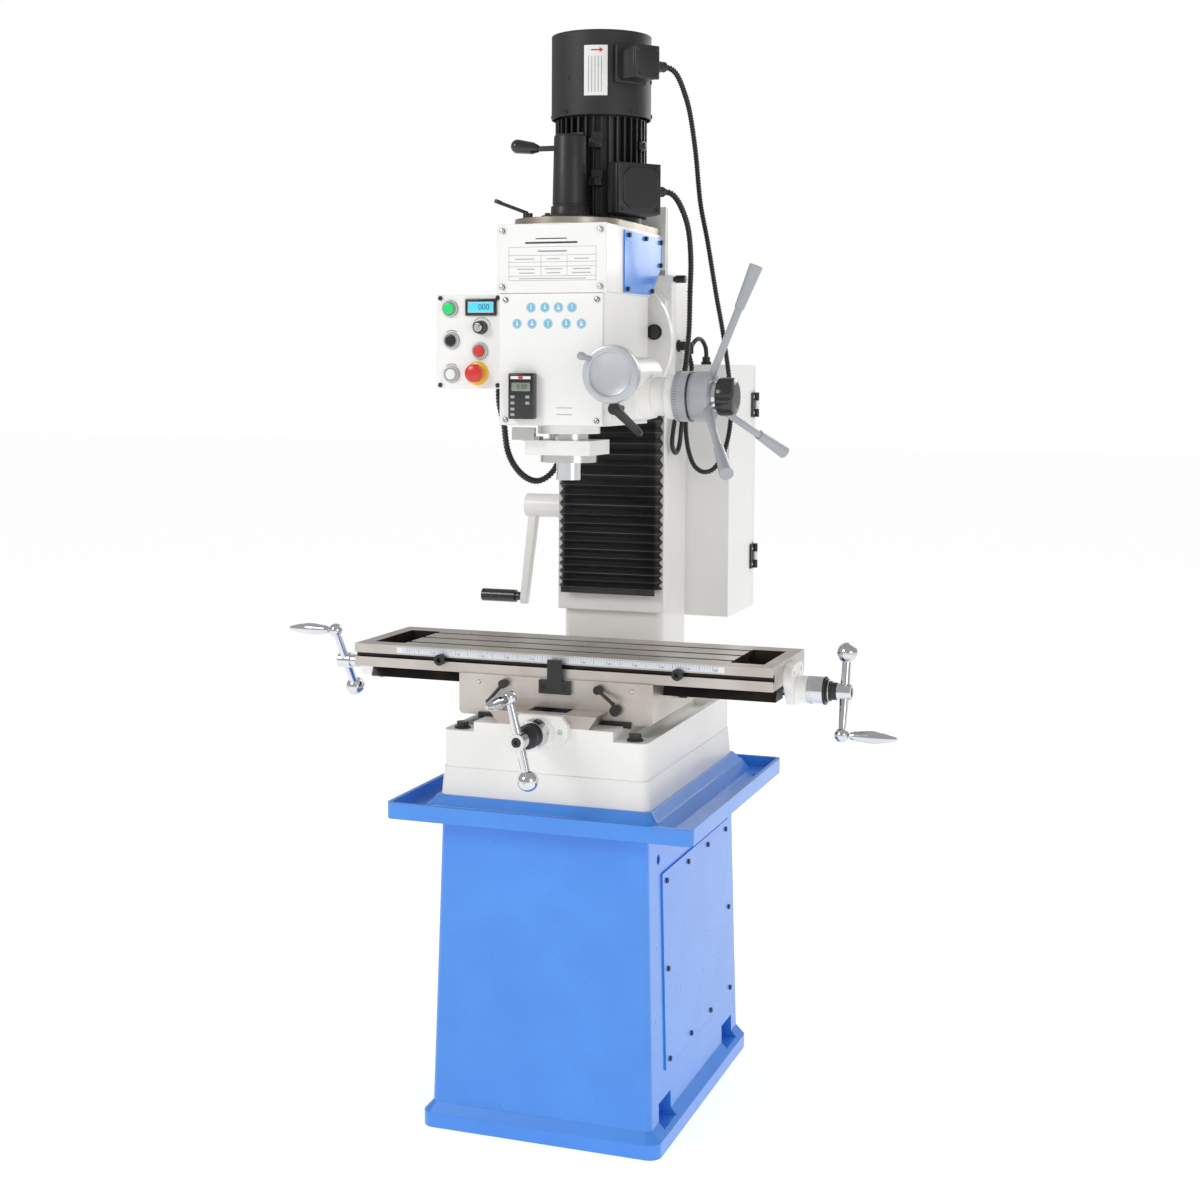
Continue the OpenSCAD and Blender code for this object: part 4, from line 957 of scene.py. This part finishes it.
# ---------------------------------------------------------------- motor and drawbar cover
@dataclass
class MotorDressing:
    """Cowl screws and plate, junction boxes, fin lugs and the turned drawbar cover."""

    axis: tuple[float, float] = (12.0, -16.0)
    turn: float = -38.0
    spindle: tuple[float, float] = (0.0, -152.0)

    def build(self, shop: Paintshop) -> None:
        """Makes every piece of the motor end."""
        self.boxes(shop)
        self.drawbar_cover(shop)
        self.cowl_screws(shop)
        self.rating_plate(shop)
        self.lugs(shop)

    def swing(self) -> Matrix:
        """Returns the move from the box's own axes to the motor."""
        return Matrix.Translation(metres((*self.axis, 0))) @ Matrix.Rotation(math.radians(self.turn), 4,
            "Z")

    def boxes(self, shop: Paintshop) -> None:
        """Makes both junction boxes, their raised lids, screws and glands."""
        lower = [block("a", (88, -34, 1702), (100, 33, 1777), 1.5),
            block("b", (97, -49, 1692), (130, 46, 1787), 4.0),
                 block("c", (131, -48, 1693), (137, 45, 1786), 2.0)]
        rim = block("rim", (135, -39.5, 1701.5), (141, 36.5, 1777.5))
        for y, z in ((-39.5, 1701.5), (-39.5, 1777.5), (36.5, 1701.5), (36.5, 1777.5)):
            corner = block("corner", (130, y - 10, z - 10), (146, y + 10, z + 10))
            corner.data.transform(self.about((130, y, z), 45))
            cut(rim, corner)
        lower.append(soften(rim, 1.4, 3))
        for y in (-41.0, 38.0):
            for z in (1700.0, 1779.0):
                lower.append(turned("s", (136.5, y, z), (1, 0, 0),
                    [(0, 0), (4.2, 0), (4.2, 2.4), (3.2, 3.4), (1.5, 3.4), (1.5, 2.2), (0, 2.2)], 20))
        lower += self.gland((118, 45, 1738), 11.0, 9.0, 18.5)
        upper = [block("d", (96, -33, 1935), (104, 33, 2005), 1.5),
            block("e", (102, -25.5, 1938), (150, 25.5, 1997), 4.0),
                 block("f", (151, -26.5, 1937), (158, 26.5, 1998), 3.0)]
        for y in (-20.0, 20.0):
            for z in (1944.0, 1991.0):
                upper.append(turned("s", (157.5, y, z), (1, 0, 0),
                    [(0, 0), (3.4, 0), (3.4, 1.8), (2.4, 2.6), (0, 2.6)], 20))
        upper += self.gland((140, 25, 1964), 11.0, 9.0, 24.5)
        boxes = joined("junction_boxes", lower + upper)
        boxes.data.transform(self.swing())
        shop.place(boxes, "head", MOTOR, "terminal_boxes")

    @staticmethod
    def about(point: Point, angle: float) -> Matrix:
        """Returns a turn round an axis along X through a point."""
        pivot = Matrix.Translation(metres(point))
        return pivot @ Matrix.Rotation(math.radians(angle), 4, "X") @ pivot.inverted()

    @staticmethod
    def gland(base: Point, nut: float, neck: float, reach: float) -> list[bpy.types.Object]:
        """Returns a hexagon nut and a ribbed neck that point along Y."""
        x, y, z = base
        body = rod("nut", (x, y - 0.5, z), (x, y + reach * 0.55, z), nut, None, 0.8, 6)
        top = turned("neck", (x, y, z), (0, 1, 0),
            [(0, reach * 0.5), (neck, reach * 0.5), (neck + 0.8, reach * 0.62),
                                                    (neck, reach * 0.74), (neck + 0.8, reach * 0.86),
                                                        (neck, reach), (0, reach)], 32)
        return [body, top]

    def drawbar_cover(self, shop: Paintshop) -> None:
        """Turns the tapered drawbar cover with its foot flange and ring groove."""
        cover = turned("drawbar_cover", (*self.spindle, 1679.1), (0, 0, 1), [
            (24.5, 0), (54, 0), (54, 6.5), (52.5, 8), (37, 8.4), (35.5, 10), (35, 24), (34, 25.6),
                (31.4, 26), (31.4, 29),
            (32.2, 29.6), (31.9, 40), (29.8, 150), (29.2, 153.6), (27.0, 156), (0, 156), (0, 153),
                (24.5, 150), (24.5, 0)])
        hole = rod("hole", (-45, -152, 1812), (-22, -152, 1812), 5.4)
        cut(cover, hole)
        shop.place(cover, "head", MOTOR, "drawbar_cap")
        screw = turned("flange_screw", (45, -152, 1686.4), (0, 0, 1),
            [(0, 0), (5, 0), (5, 4), (4.4, 4.8), (2.4, 4.8), (2.4, 2.4), (0, 2.4)], 24)
        shop.place(around("flange_screws", screw, (0, -152, 0), Axis.Z, (-45, 45, 225, 135)), "head", OXIDE)

    def cowl_screws(self, shop: Paintshop) -> None:
        """Adds the screws round the cowl's foot and one above them."""
        x, y = self.axis
        screw = turned("cowl_screw", (x + 93.8, y, 1886), (1, 0, 0),
            [(0, 0), (4.2, 0), (4.2, 1.8), (3.2, 3.0), (1.3, 3.2), (1.3, 1.8), (0, 1.8)], 24)
        low = around("cowl_screws", screw, (x, y, 0), Axis.Z, (-33, -115, 20, 80, 140, 190))
        shop.place(low, "head", OXIDE)
        screw = turned("cowl_screw_high", (x + 93.8, y, 1948), (1, 0, 0),
            [(0, 0), (3.6, 0), (3.6, 1.8), (2.6, 2.8), (0, 2.8)], 24)
        shop.place(around("cowl_screws_high", screw, (x, y, 0), Axis.Z, (-111, 10, 110)), "head", OXIDE)
        ring = turned("cowl_rim", (x, y, 2030.0), (0, 0, 1),
            [(94.4, -1), (94.8, 0), (94.4, 1.4), (93.0, 2.6), (91.0, 2.9), (91.0, 1.5), (94.4, -1)])
        shop.place(ring, "head", COWL)

    def rating_plate(self, shop: Paintshop) -> None:
        """Bends a plain white plate round the cowl, with a turning arrow and blank lines."""
        sheet = self.bent("rating_plate", (-22, 22), (1912, 2004), 94.9, 0.5, 12)
        marks = [self.bent("m", (-14 + 6 * k, -12.6 + 6 * k), (1918, 1984), 95.35, 0.15, 1)
            for k in range(5)]
        arrow = [self.bent("a", (-9, 8), (1993.7, 1996.3), 95.35, 0.15, 4)]
        for step in range(5):
            half = 4.5 - step
            arrow.append(self.bent("h", (7 + step * 1.4, 8.4 + step * 1.4), (1995 - half, 1995 + half),
                95.35, 0.15, 1))
        shop.place(sheet, "head", WHITE)
        shop.place(joined("rating_plate_lines", marks), "head", FAINT_INK)
        shop.place(joined("turning_arrow", arrow), "head", RED)

    def bent(self, name: str, wide: tuple[float, float], tall: tuple[float, float], radius: float,
        thick: float,
             cuts: int) -> bpy.types.Object:
        """Makes a thin patch that follows the cowl.

        Args:
            name: name of the patch.
            wide: its two sides along the surface, from the middle of the plate.
            tall: its lowest and highest height.
            radius: radius of its inner face.
            thick: its thickness.
            cuts: strips across its width.

        Returns:
            The patch.
        """
        centre_angle = -77.0
        verts, faces = [], []
        for k in range(cuts + 1):
            s = wide[0] + (wide[1] - wide[0]) * k / cuts
            angle = math.radians(centre_angle) + s / radius
            for r in (radius - thick, radius + thick):
                for z in tall:
                    verts.append(metres((self.axis[0] + r * math.cos(angle),
                        self.axis[1] + r * math.sin(angle), z)))
        for k in range(cuts):
            a, b = 4 * k, 4 * k + 4
            faces += [(a + 2, b + 2, b + 3, a + 3), (a, a + 1, b + 1, b), (a + 1, a + 3, b + 3, b + 1),
                (a, b, b + 2, a + 2)]
        faces += [(0, 2, 3, 1), (4 * cuts, 4 * cuts + 1, 4 * cuts + 3, 4 * cuts + 2)]
        mesh = bpy.data.meshes.new(name)
        mesh.from_pydata(verts, [], faces)
        obj = bpy.data.objects.new(name, mesh)
        bpy.context.scene.collection.objects.link(obj)
        return obj

    def lugs(self, shop: Paintshop) -> None:
        """Adds clamp bosses with bolts on the fins at the front of the motor."""
        x, y = self.axis
        parts = []
        for angle in (-77, -8, 150):
            for z in (1755.0, 1826.0):
                boss = block("boss", (x + 84, y - 13, z - 9), (x + 91.5, y + 13, z + 9), 2.5)
                bolt = rod("bolt", (x + 90, y, z), (x + 94.5, y, z), 6.0, None, 0.6, 6)
                part = joined("lug", [boss, bolt])
                pivot = Matrix.Translation(metres((x, y, 0)))
                part.data.transform(pivot @ Matrix.Rotation(math.radians(angle), 4, "Z") @ pivot.inverted())
                parts.append(part)
        shop.place(joined("motor_lugs", parts), "head", MOTOR)


# ---------------------------------------------------------------- head front
@dataclass
class HeadFront:
    """Blank chart, round symbols and the quill readout on the head's front plates."""

    upper_front: float = -247.0
    lower_front: float = -243.5
    ink: float = 0.12

    def build(self, shop: Paintshop) -> None:
        """Makes the marks of both plates and the readout."""
        self.chart(shop)
        self.symbols(shop)
        self.readout(shop)
        self.slots_in_screws(shop)
        self.ring_scale(shop)

    def bar(self, x: tuple[float, float], z: tuple[float, float], front: float) -> bpy.types.Object:
        """Returns a thin printed bar on a plate, with its corners rounded."""
        edge = min(x[1] - x[0], z[1] - z[0]) * 0.2
        return block("bar", (x[0], front - self.ink, z[0]), (x[1], front + self.ink, z[1]), min(edge, 0.1),
            1)

    def chart(self, shop: Paintshop) -> None:
        """Prints a heading bar and an empty table on the upper plate."""
        front = self.upper_front
        heading = [self.bar((-50, 50), (1631, 1634.5), front), self.bar((-30, 30), (1639, 1641), front)]
        shop.place(joined("chart_heading", heading), "head", INK)
        lines = [self.bar((-82, 86), (z, z + 0.8), front) for z in (1565, 1573, 1590, 1598, 1610, 1625)]
        lines += [self.bar((x, x + 0.8), (1565, 1625.8), front) for x in (-82, 85.2)]
        lines += [self.bar((x, x + 0.8), (1573, 1610), front) for x in (-20, 30)]
        lines += [self.bar((-26, 30), (1616, 1619), front)]
        lines += [self.bar((x, x + w), (z, z + 1.6), front) for x, w,
            z in ((-70, 38, 1603), (-8, 24, 1603), (44, 28, 1603))]
        lines += [self.bar((x, x + w), (z, z + 1.6), front) for x, w, z in
                  ((-66, 34, 1585), (-62, 30, 1578), (-12, 34, 1585), (-8, 26, 1578), (42, 34, 1585),
                      (40, 36, 1578))]
        lines += [self.bar((-62, 66), (1568, 1569.4), front)]
        shop.place(joined("chart_lines", lines), "head", FAINT_INK)

    def symbols(self, shop: Paintshop) -> None:
        """Prints nine plain round symbols and two blank lines on the lower plate."""
        front = self.lower_front
        discs, marks = [], []
        places = [(x, 1517) for x in (-40, -13, 13, 39)] + [(x, 1488) for x in (-67, -38, -7, 28, 57)]
        for i, (x, z) in enumerate(places):
            discs.append(turned("disc", (x, front + 0.1, z), (0, -1, 0),
                [(0, 0), (9, 0), (9, 0.22), (0, 0.22)], 32))
            marks.append(turned("ring", (x, front - 0.1, z), (0, -1, 0),
                [(7.4, 0), (8.0, 0), (8.0, 0.12), (7.4, 0.12), (7.4, 0)], 32))
            marks.append(block("mark", (x - 1.2 - i % 3, front - 0.24, z - 4.5 + i % 2),
                (x + 1.2 + i % 3, front - 0.1, z + 1.5), 0.1, 1))
            marks.append(turned("dot", (x, front - 0.1, z + 3.6), (0, -1, 0),
                [(0, 0), (1.8, 0), (1.8, 0.14), (0, 0.14)], 16))
        shop.place(joined("symbol_discs", discs), "head", SKY_INK)
        shop.place(joined("symbol_marks", marks), "head", WHITE)
        lines = [self.bar((10, 40), (z, z + 1.4), front) for z in (1324, 1336)]
        shop.place(joined("blank_lines", lines), "head", FAINT_INK)

    def readout(self, shop: Paintshop) -> None:
        """Makes the slim readout with its window, figures and keys."""
        case = block("readout_case", (-77, -262, 1316), (-28, -243.6, 1399), 2.2)
        cut(case, block("window_cut", (-71, -264, 1366), (-34, -260.5, 1382), 0.4))
        shop.place(case, "head", PLASTIC, "quill_readout")
        shop.place(block("readout_window", (-70.8, -261.4, 1366.2), (-34.2, -260.4, 1381.8), 0.3), "head",
            GREY_LCD)
        shop.place(figures("readout_figures", "0.00", 12, (-50, -261.5, 1374)), "head", INK)
        shop.place(block("readout_band", (-72, -262.3, 1388), (-33, -261.8, 1393.5), 0.2), "head", WHITE)
        shop.place(block("readout_mark", (-57, -262.5, 1388.4), (-48, -261.9, 1393.1), 0.2), "head", RED)
        keys = [block("key", (x - 4, -263.0, z - 2.6), (x + 4, -261.6, z + 2.6), 0.7)
                for x, z in ((-68, 1356), (-68, 1345), (-68, 1334), (-39, 1356), (-39, 1345), (-68, 1324))]
        shop.place(joined("readout_keys", keys), "head", GREY)

    def slots_in_screws(self, shop: Paintshop) -> None:
        """Adds bright slotted heads over the plate screws."""
        parts = []
        for xs, zs, front in (((-94, 94), (1554, 1655), -252.3), ((-89, 87), (1314, 1531), -245.8)):
            for x in xs:
                for z in zs:
                    head = turned("head", (x, front + 0.6, z), (0, -1, 0),
                        [(0, -0.4), (4.5, -0.4), (4.5, 0.2), (3.4, 1.1), (0, 1.4)], 24)
                    slot = block("slot", (x - 6, front - 2, z - 0.6), (x + 6, front - 0.1, z + 0.6))
                    slot.data.transform(self.spun(x, front, z, 38.0 + x))
                    parts.append(cut(head, slot))
        shop.place(joined("plate_screw_heads", parts), "head", STEEL)

    @staticmethod
    def spun(x: float, y: float, z: float, angle: float) -> Matrix:
        """Returns a turn round an axis along Y through a point."""
        pivot = Matrix.Translation(metres((x, y, z)))
        return pivot @ Matrix.Rotation(math.radians(angle), 4, "Y") @ pivot.inverted()

    @staticmethod
    def ring_scale(shop: Paintshop) -> None:
        """Marks degrees on the rim of the tilt ring."""
        short = block("tick", (136.5, 47.7, 1459.6), (139.5, 48.4, 1460.4), 0.05, 1)
        shop.place(around("tilt_ticks", short, (0, 0, 1460), Axis.Y, range(-60, 61, 3)), "head", INK)


# ---------------------------------------------------------------- control panel
@dataclass
class ControlPanel:
    """Buttons, collars, speed knob, display and mushroom head on the control box."""

    front: float = -222.0
    display: tuple[float, float] = (-146.5, 1519.0)

    def build(self, shop: Paintshop) -> None:
        """Makes every control."""
        self.push_button(shop, "start_cap", "start_button", (-209, 1517), GREEN, 12.0)
        self.push_button(shop, "forward_cap", "forward_button", (-206, 1458), PLASTIC, 8.0)
        self.push_button(shop, "stop_cap", "stop_button", (-149, 1439), RED, 8.0)
        self.push_button(shop, "reverse_cap", "reverse_button", (-206, 1396), WHITE, 8.0)
        self.mushroom(shop)
        self.speed(shop)
        self.screen(shop)
        self.prints(shop)

    def push_button(self, shop: Paintshop, name: str, node: str, place: tuple[float, float], finish: Finish,
                    out: float) -> None:
        """Makes a domed button with its stem and the bright collar round it."""
        x, z = place
        cap = turned(name, (x, self.front, z), (0, -1, 0), [
            (0, -11.5), (6, -11.5), (6, -3), (10, -3), (10, out - 1.6), (9.2, out - 0.4), (7.5, out),
                (4, out - 0.35), (0, out - 0.5)], 48)
        shop.place(cap, node, finish, node)
        collar = turned(name + "_collar", (x, self.front, z), (0, -1, 0), [
            (10.4, 4.8), (12.0, 6.4), (13.6, 6.0), (15.6, 3.0), (16.2, 0.6), (16.2, 0.0), (15.0, 0.0),
                (15.0, 1.0), (10.4, 4.8)], 56)
        shop.place(collar, "head", GREY)

    def mushroom(self, shop: Paintshop) -> None:
        """Makes the red mushroom head with its skirt, and the yellow ring behind it."""
        cap = turned("stop_mushroom", (-154, self.front, 1398), (0, -1, 0), [
            (0, -11.5), (7.9, -11.5), (7.9, 11), (13, 11.4), (15.5, 12.4), (17, 15), (17, 20), (15.8, 23),
                (12, 25.2), (6, 26.2), (0, 26.4)], 56)
        shop.place(cap, "estop", RED, "estop")
        ring = turned("stop_ring", (-154, self.front, 1398), (0, -1, 0), [
            (8.4, 0.1), (22, 0.1), (22, 2.2), (20.5, 3.4), (17, 4.2), (12.5, 4.6), (8.4, 4.7), (8.4, 0.1)],
                56)
        shop.place(ring, "head", YELLOW)

    def speed(self, shop: Paintshop) -> None:
        """Makes the ribbed speed knob with its bright cap and pointer."""
        x, z = -146.0, 1482.0
        knob = turned("speed_knob_body", (x, self.front, z), (0, -1, 0), [
            (0, -11), (3.9, -11), (3.9, 0.4), (12.5, 0.4), (12.8, 2.6), (11.4, 4.6), (10.4, 17.4),
                (9.6, 18.4), (0, 18.4)], 48)
        rib = rod("rib", (x + 11.1, self.front - 5, z), (x + 10.4, self.front - 17.6, z), 0.9, None, 0.3,
            10)
        ribs = around("ribs", rib, (x, self.front, z), Axis.Y, range(0, 360, 20))
        shop.place(joined("speed_knob_body", [knob, ribs]), "speed_knob", PLASTIC, "speed_knob")
        cap = turned("speed_knob_cap", (x, self.front - 18.2, z), (0, -1, 0),
            [(0, 0), (8.0, 0), (8.0, 0.6), (7.4, 1.1), (0, 1.2)], 40)
        shop.place(cap, "speed_knob", STEEL)
        pointer = block("speed_pointer", (x - 0.7, self.front - 19.8, z + 2),
            (x + 0.7, self.front - 19.2, z + 8), 0.2, 1)
        pointer.data.transform(HeadFront.spun(x, 0, z, 50))
        shop.place(pointer, "speed_knob", INK)

    def screen(self, shop: Paintshop) -> None:
        """Makes the display with its frame and figures."""
        x, z = self.display
        bezel = block("display_frame", (x - 31, self.front - 4.6, z - 15.5),
            (x + 31, self.front + 0.2, z + 15.5), 1.6)
        cut(bezel, block("opening", (x - 25.5, self.front - 6, z - 10),
            (x + 25.5, self.front - 2.4, z + 10), 0.4))
        shop.place(bezel, "head", PLASTIC)
        shop.place(block("display_glass", (x - 25.4, self.front - 3.2, z - 9.9),
            (x + 25.4, self.front - 2.2, z + 9.9), 0.3), "head", LCD)
        shop.place(figures("display_figures", "000", 15, (x + 6, self.front - 3.3, z)), "head", INK)

    def prints(self, shop: Paintshop) -> None:
        """Prints a turning arc over three controls and adds the box's corner screws."""
        arcs = []
        for x, z, radius, low, high in ((-206, 1458, 19, 55, 120), (-206, 1396, 19, 55, 120),
            (-146, 1482, 18, 10, 160)):
            dot = block("arc", (x + radius - 0.5, self.front - 0.15, z - 1.0),
                (x + radius + 0.5, self.front + 0.1, z + 1.0), 0.05, 1)
            arcs.append(around("arc", dot, (x, self.front, z), Axis.Y, range(-high, -low, 5)))
        shop.place(joined("control_arcs", arcs), "head", INK)
        screw = turned("box_screw", (-228, self.front - 2.2, 1376), (0, -1, 0),
            [(0, 0), (4.4, 0), (4.4, 0.8), (3.2, 1.9), (1.2, 2.0), (1.2, 1.2), (0, 1.2)], 24)
        screws = [moved_copy(screw, Matrix.Translation(metres((dx, 0, dz)))) for dx in (0, 115)
            for dz in (0, 160)]
        bpy.data.objects.remove(screw)
        shop.place(joined("box_screws", screws), "head", OXIDE)


# ---------------------------------------------------------------- feeds
@dataclass
class Feeds:
    """Fine-feed wheel, downfeed knob and the dials' graduations."""

    wheel: tuple[float, float] = (130.0, 1398.0)
    cross: tuple[float, float] = (-130.0, 1358.0)

    def build(self, shop: Paintshop) -> None:
        """Makes the wheel, the lobed knob and every graduated ring."""
        self.fine_wheel(shop)
        self.clutch(shop)
        self.dials(shop)

    def fine_wheel(self, shop: Paintshop) -> None:
        """Turns the dished wheel and adds its small winding handle."""
        x, z = self.wheel
        wheel = turned("fine_feed_wheel", (x, -232, z), (0, -1, 0), [
            (0, 0), (9.9, 0), (9.9, 44), (46, 44.4), (50, 46), (52, 50), (52, 62), (50.5, 66.5), (47, 68),
                (41, 68), (39, 66.5),
            (38.2, 62.4), (36, 61.4), (12, 60.8), (0, 61.0)], 96)
        shop.place(wheel, "fine_wheel", PALE_GREY, "fine_wheel")
        grip = turned("winding_handle", (x - 37, -299, z + 27), (-0.55, -0.8, 0.25), [
            (0, -6), (4, -6), (4, 3), (4.6, 4), (4.4, 5), (7.2, 16), (7.4, 20), (5.6, 24), (0, 25.4)], 40)
        shop.place(grip, "fine_wheel", GREY)

    def clutch(self, shop: Paintshop) -> None:
        """Makes the lobed black knob on its chrome ring."""
        y, z = self.cross
        ring = turned("clutch_ring", (262.5, y, z), (1, 0, 0),
            [(0, 0), (27, 0), (27.6, 3), (27.6, 15), (26.5, 20), (0, 20)], 64)
        shop.place(ring, "clutch_knob", CHROME, "clutch_knob")
        knob = turned("clutch_grip", (281, y, z), (1, 0, 0),
            [(0, 0), (30, 0), (33.5, 2), (35, 6), (35, 26), (33, 31), (28, 33.4), (20, 34), (0, 33)], 72)
        groove = rod("groove", (284, y + 39.5, z), (320, y + 39.5, z), 8.0, None, 0, 24)
        cut(knob, around("grooves", groove, (0, y, z), Axis.X, range(0, 360, 60)))
        soften(knob, 1.6, 3, 30)
        shop.place(knob, "clutch_knob", PLASTIC)

    def dials(self, shop: Paintshop) -> None:
        """Engraves the rings of the downfeed and of both screws."""
        y, z = self.cross
        tick = block("tick", (206, y - 0.25, z + 45.9), (214, y + 0.25, z + 46.25), 0.05, 1)
        shop.place(around("downfeed_ticks", tick, (0, y, z), Axis.X, range(0, 360, 6)), "capstan", INK)
        edge = turned("dial_band", (229.6, y, z), (1, 0, 0),
            [(45.5, 0), (46.6, 0.6), (46.6, 3.4), (45.5, 4), (45.5, 0)], 72)
        shop.place(edge, "capstan", PLASTIC)
        tick = block("tick", (449, -98.25, 852.9), (457, -97.75, 853.25), 0.05, 1)
        shop.place(around("table_dial_ticks", tick, (0, -98, 828), Axis.X, range(0, 360, 8)), "x_screw",
            WHITE)
        tick = block("tick", (-0.25, -330, 783.9), (0.25, -322, 784.25), 0.05, 1)
        shop.place(around("cross_dial_ticks", tick, (0, 0, 757), Axis.Y, range(0, 360, 8)), "y_screw",
            WHITE)
        self.collars(shop)

    @staticmethod
    def collars(shop: Paintshop) -> None:
        """Adds the black ribbed collars behind the crank hubs and the caps in their bores."""
        ribs = [(0, -6), (21, -6), (21.4, 0), (21.4, 5), (19.6, 6), (19.6, 8), (21.4, 9), (21.4, 14),
            (19.6, 15), (19.6, 17), (20.6, 18), (18.4, 24), (16.2, 25), (16.2, 33), (0, 33)]
        shop.place(turned("cross_collar", (0, -348, 757), (0, -1, 0), ribs, 64), "y_screw", OXIDE)
        rings = [(0, 0), (25.7, 0), (25.7, 3.6), (21, 4.2), (21, 8), (18.2, 8.6), (18.2, 13), (16, 13.6),
            (16, 23), (0, 23)]
        shop.place(turned("table_collar", (476.4, -98, 828), (1, 0, 0), rings, 64), "x_screw", OXIDE)
        cap = [(0, 0), (8.8, 0), (8.8, 7.6), (8.0, 8.6), (4.0, 8.6), (4.0, 5.0), (0, 5.0)]
        shop.place(turned("cross_hub_cap", (0, -399.2, 757), (0, -1, 0), cap, 40), "y_screw", OXIDE)
        ends = [turned("cap", (517.2, -98, 828), (1, 0, 0), cap, 40),
            turned("cap", (-495.2, -98, 828), (-1, 0, 0), cap, 40)]
        shop.place(joined("table_hub_caps", ends), "x_screw", OXIDE)


# ---------------------------------------------------------------- table, base and cabinet
@dataclass
class TableMarks:
    """Graduations, figures and end plates of the table rule."""

    front: float = -218.6
    first: float = -300.0
    count: int = 25

    def build(self, shop: Paintshop) -> None:
        """Makes the rule's ticks, figures and end plates."""
        fine = row("rule_fine", block("t", (self.first - 0.2, self.front - 0.08, 875.5),
            (self.first + 0.2, self.front + 0.1, 880), 0.03, 1), (5, 0, 0), 121)
        coarse = row("rule_coarse", block("t", (self.first - 0.3, self.front - 0.1, 871.5),
            (self.first + 0.3, self.front + 0.1, 880), 0.03, 1), (25, 0, 0), self.count)
        shop.place(joined("rule_ticks", [fine, coarse]), "table", INK)
        numbers = [figures("n", str(k * 50), 4.4, (self.first + 50 * k + 5.5, self.front - 0.05, 872.6))
            for k in range(13)]
        shop.place(joined("rule_figures", numbers), "table", INK)
        ends = [block("end", (x - 5, self.front - 0.2, 869.4), (x + 5, self.front + 0.1, 879.6), 0.1, 1)
            for x in (-315, 315)]
        shop.place(joined("rule_ends", ends), "table", WHITE)


@dataclass
class BaseDressing:
    """Way wipers on the base and oil nipples on the saddle."""

    def build(self, shop: Paintshop) -> None:
        """Makes the wipers and nipples."""
        wipers = [block("wiper", (left, -227.5, 758.5), (left + 80, -223.2, 770), 0.8) for left in (-150, 70)]
        shop.place(joined("way_wipers", wipers), "saddle", RUBBER)
        nipple = turned("nipple", (150, -223.2, 826), (0, -1, 0),
            [(0, 0), (4, 0), (4, 0.8), (2.5, 2.4), (0, 2.6)], 24)
        nipples = joined("oil_nipples", [moved_copy(nipple, Matrix.Translation((-0.3, 0, 0))), nipple])
        shop.place(nipples, "saddle", STEEL)


@dataclass
class CabinetDressing:
    """Hinge screws and the latch slot of the electrical cabinet."""

    side: float = 193.0
    hinges: tuple[float, float] = (1011.0, 1334.0)

    def build(self, shop: Paintshop) -> None:
        """Makes the hinge screws and the latch slot."""
        screw = turned("hinge_screw", (196.8, 443, 0), (1, 0, 0),
            [(0, 0), (3.2, 0), (3.2, 0.5), (2.2, 1.2), (0, 1.3)], 20)
        screws = [moved_copy(screw, Matrix.Translation(metres((0, 0, z + dz)))) for z in self.hinges
            for dz in (-17, 17)]
        bpy.data.objects.remove(screw)
        shop.place(joined("hinge_screws", screws), "root", STEEL)
        slot = block("latch_slot", (-127.5, 476.8, 1163), (-124.5, 477.6, 1165), 0.2, 1)
        slot.data.transform(Matrix.Translation((0, -0.0004, 0)))
        shop.place(slot, "cabinet_door", INK)


# ---------------------------------------------------------------- the whole machine
def main() -> None:
    """Builds the machine in order: view, cords, soft cover, then every sub-assembly."""
    logging.basicConfig(level=logging.INFO, format="%(name)s: %(message)s")
    nothing_selected()
    shop = Paintshop()
    for node, finish in NODE_FINISH.items():
        shop.dress_node(node, finish)
    for assembly in (Studio(), Wiring(), WayCover(), MotorDressing(), HeadFront(), ControlPanel(), Feeds(),
                     TableMarks(), BaseDressing(), CabinetDressing()):
        log.info("building %s", type(assembly).__name__)
        assembly.build(shop)


if __name__ == "__main__":
    main()
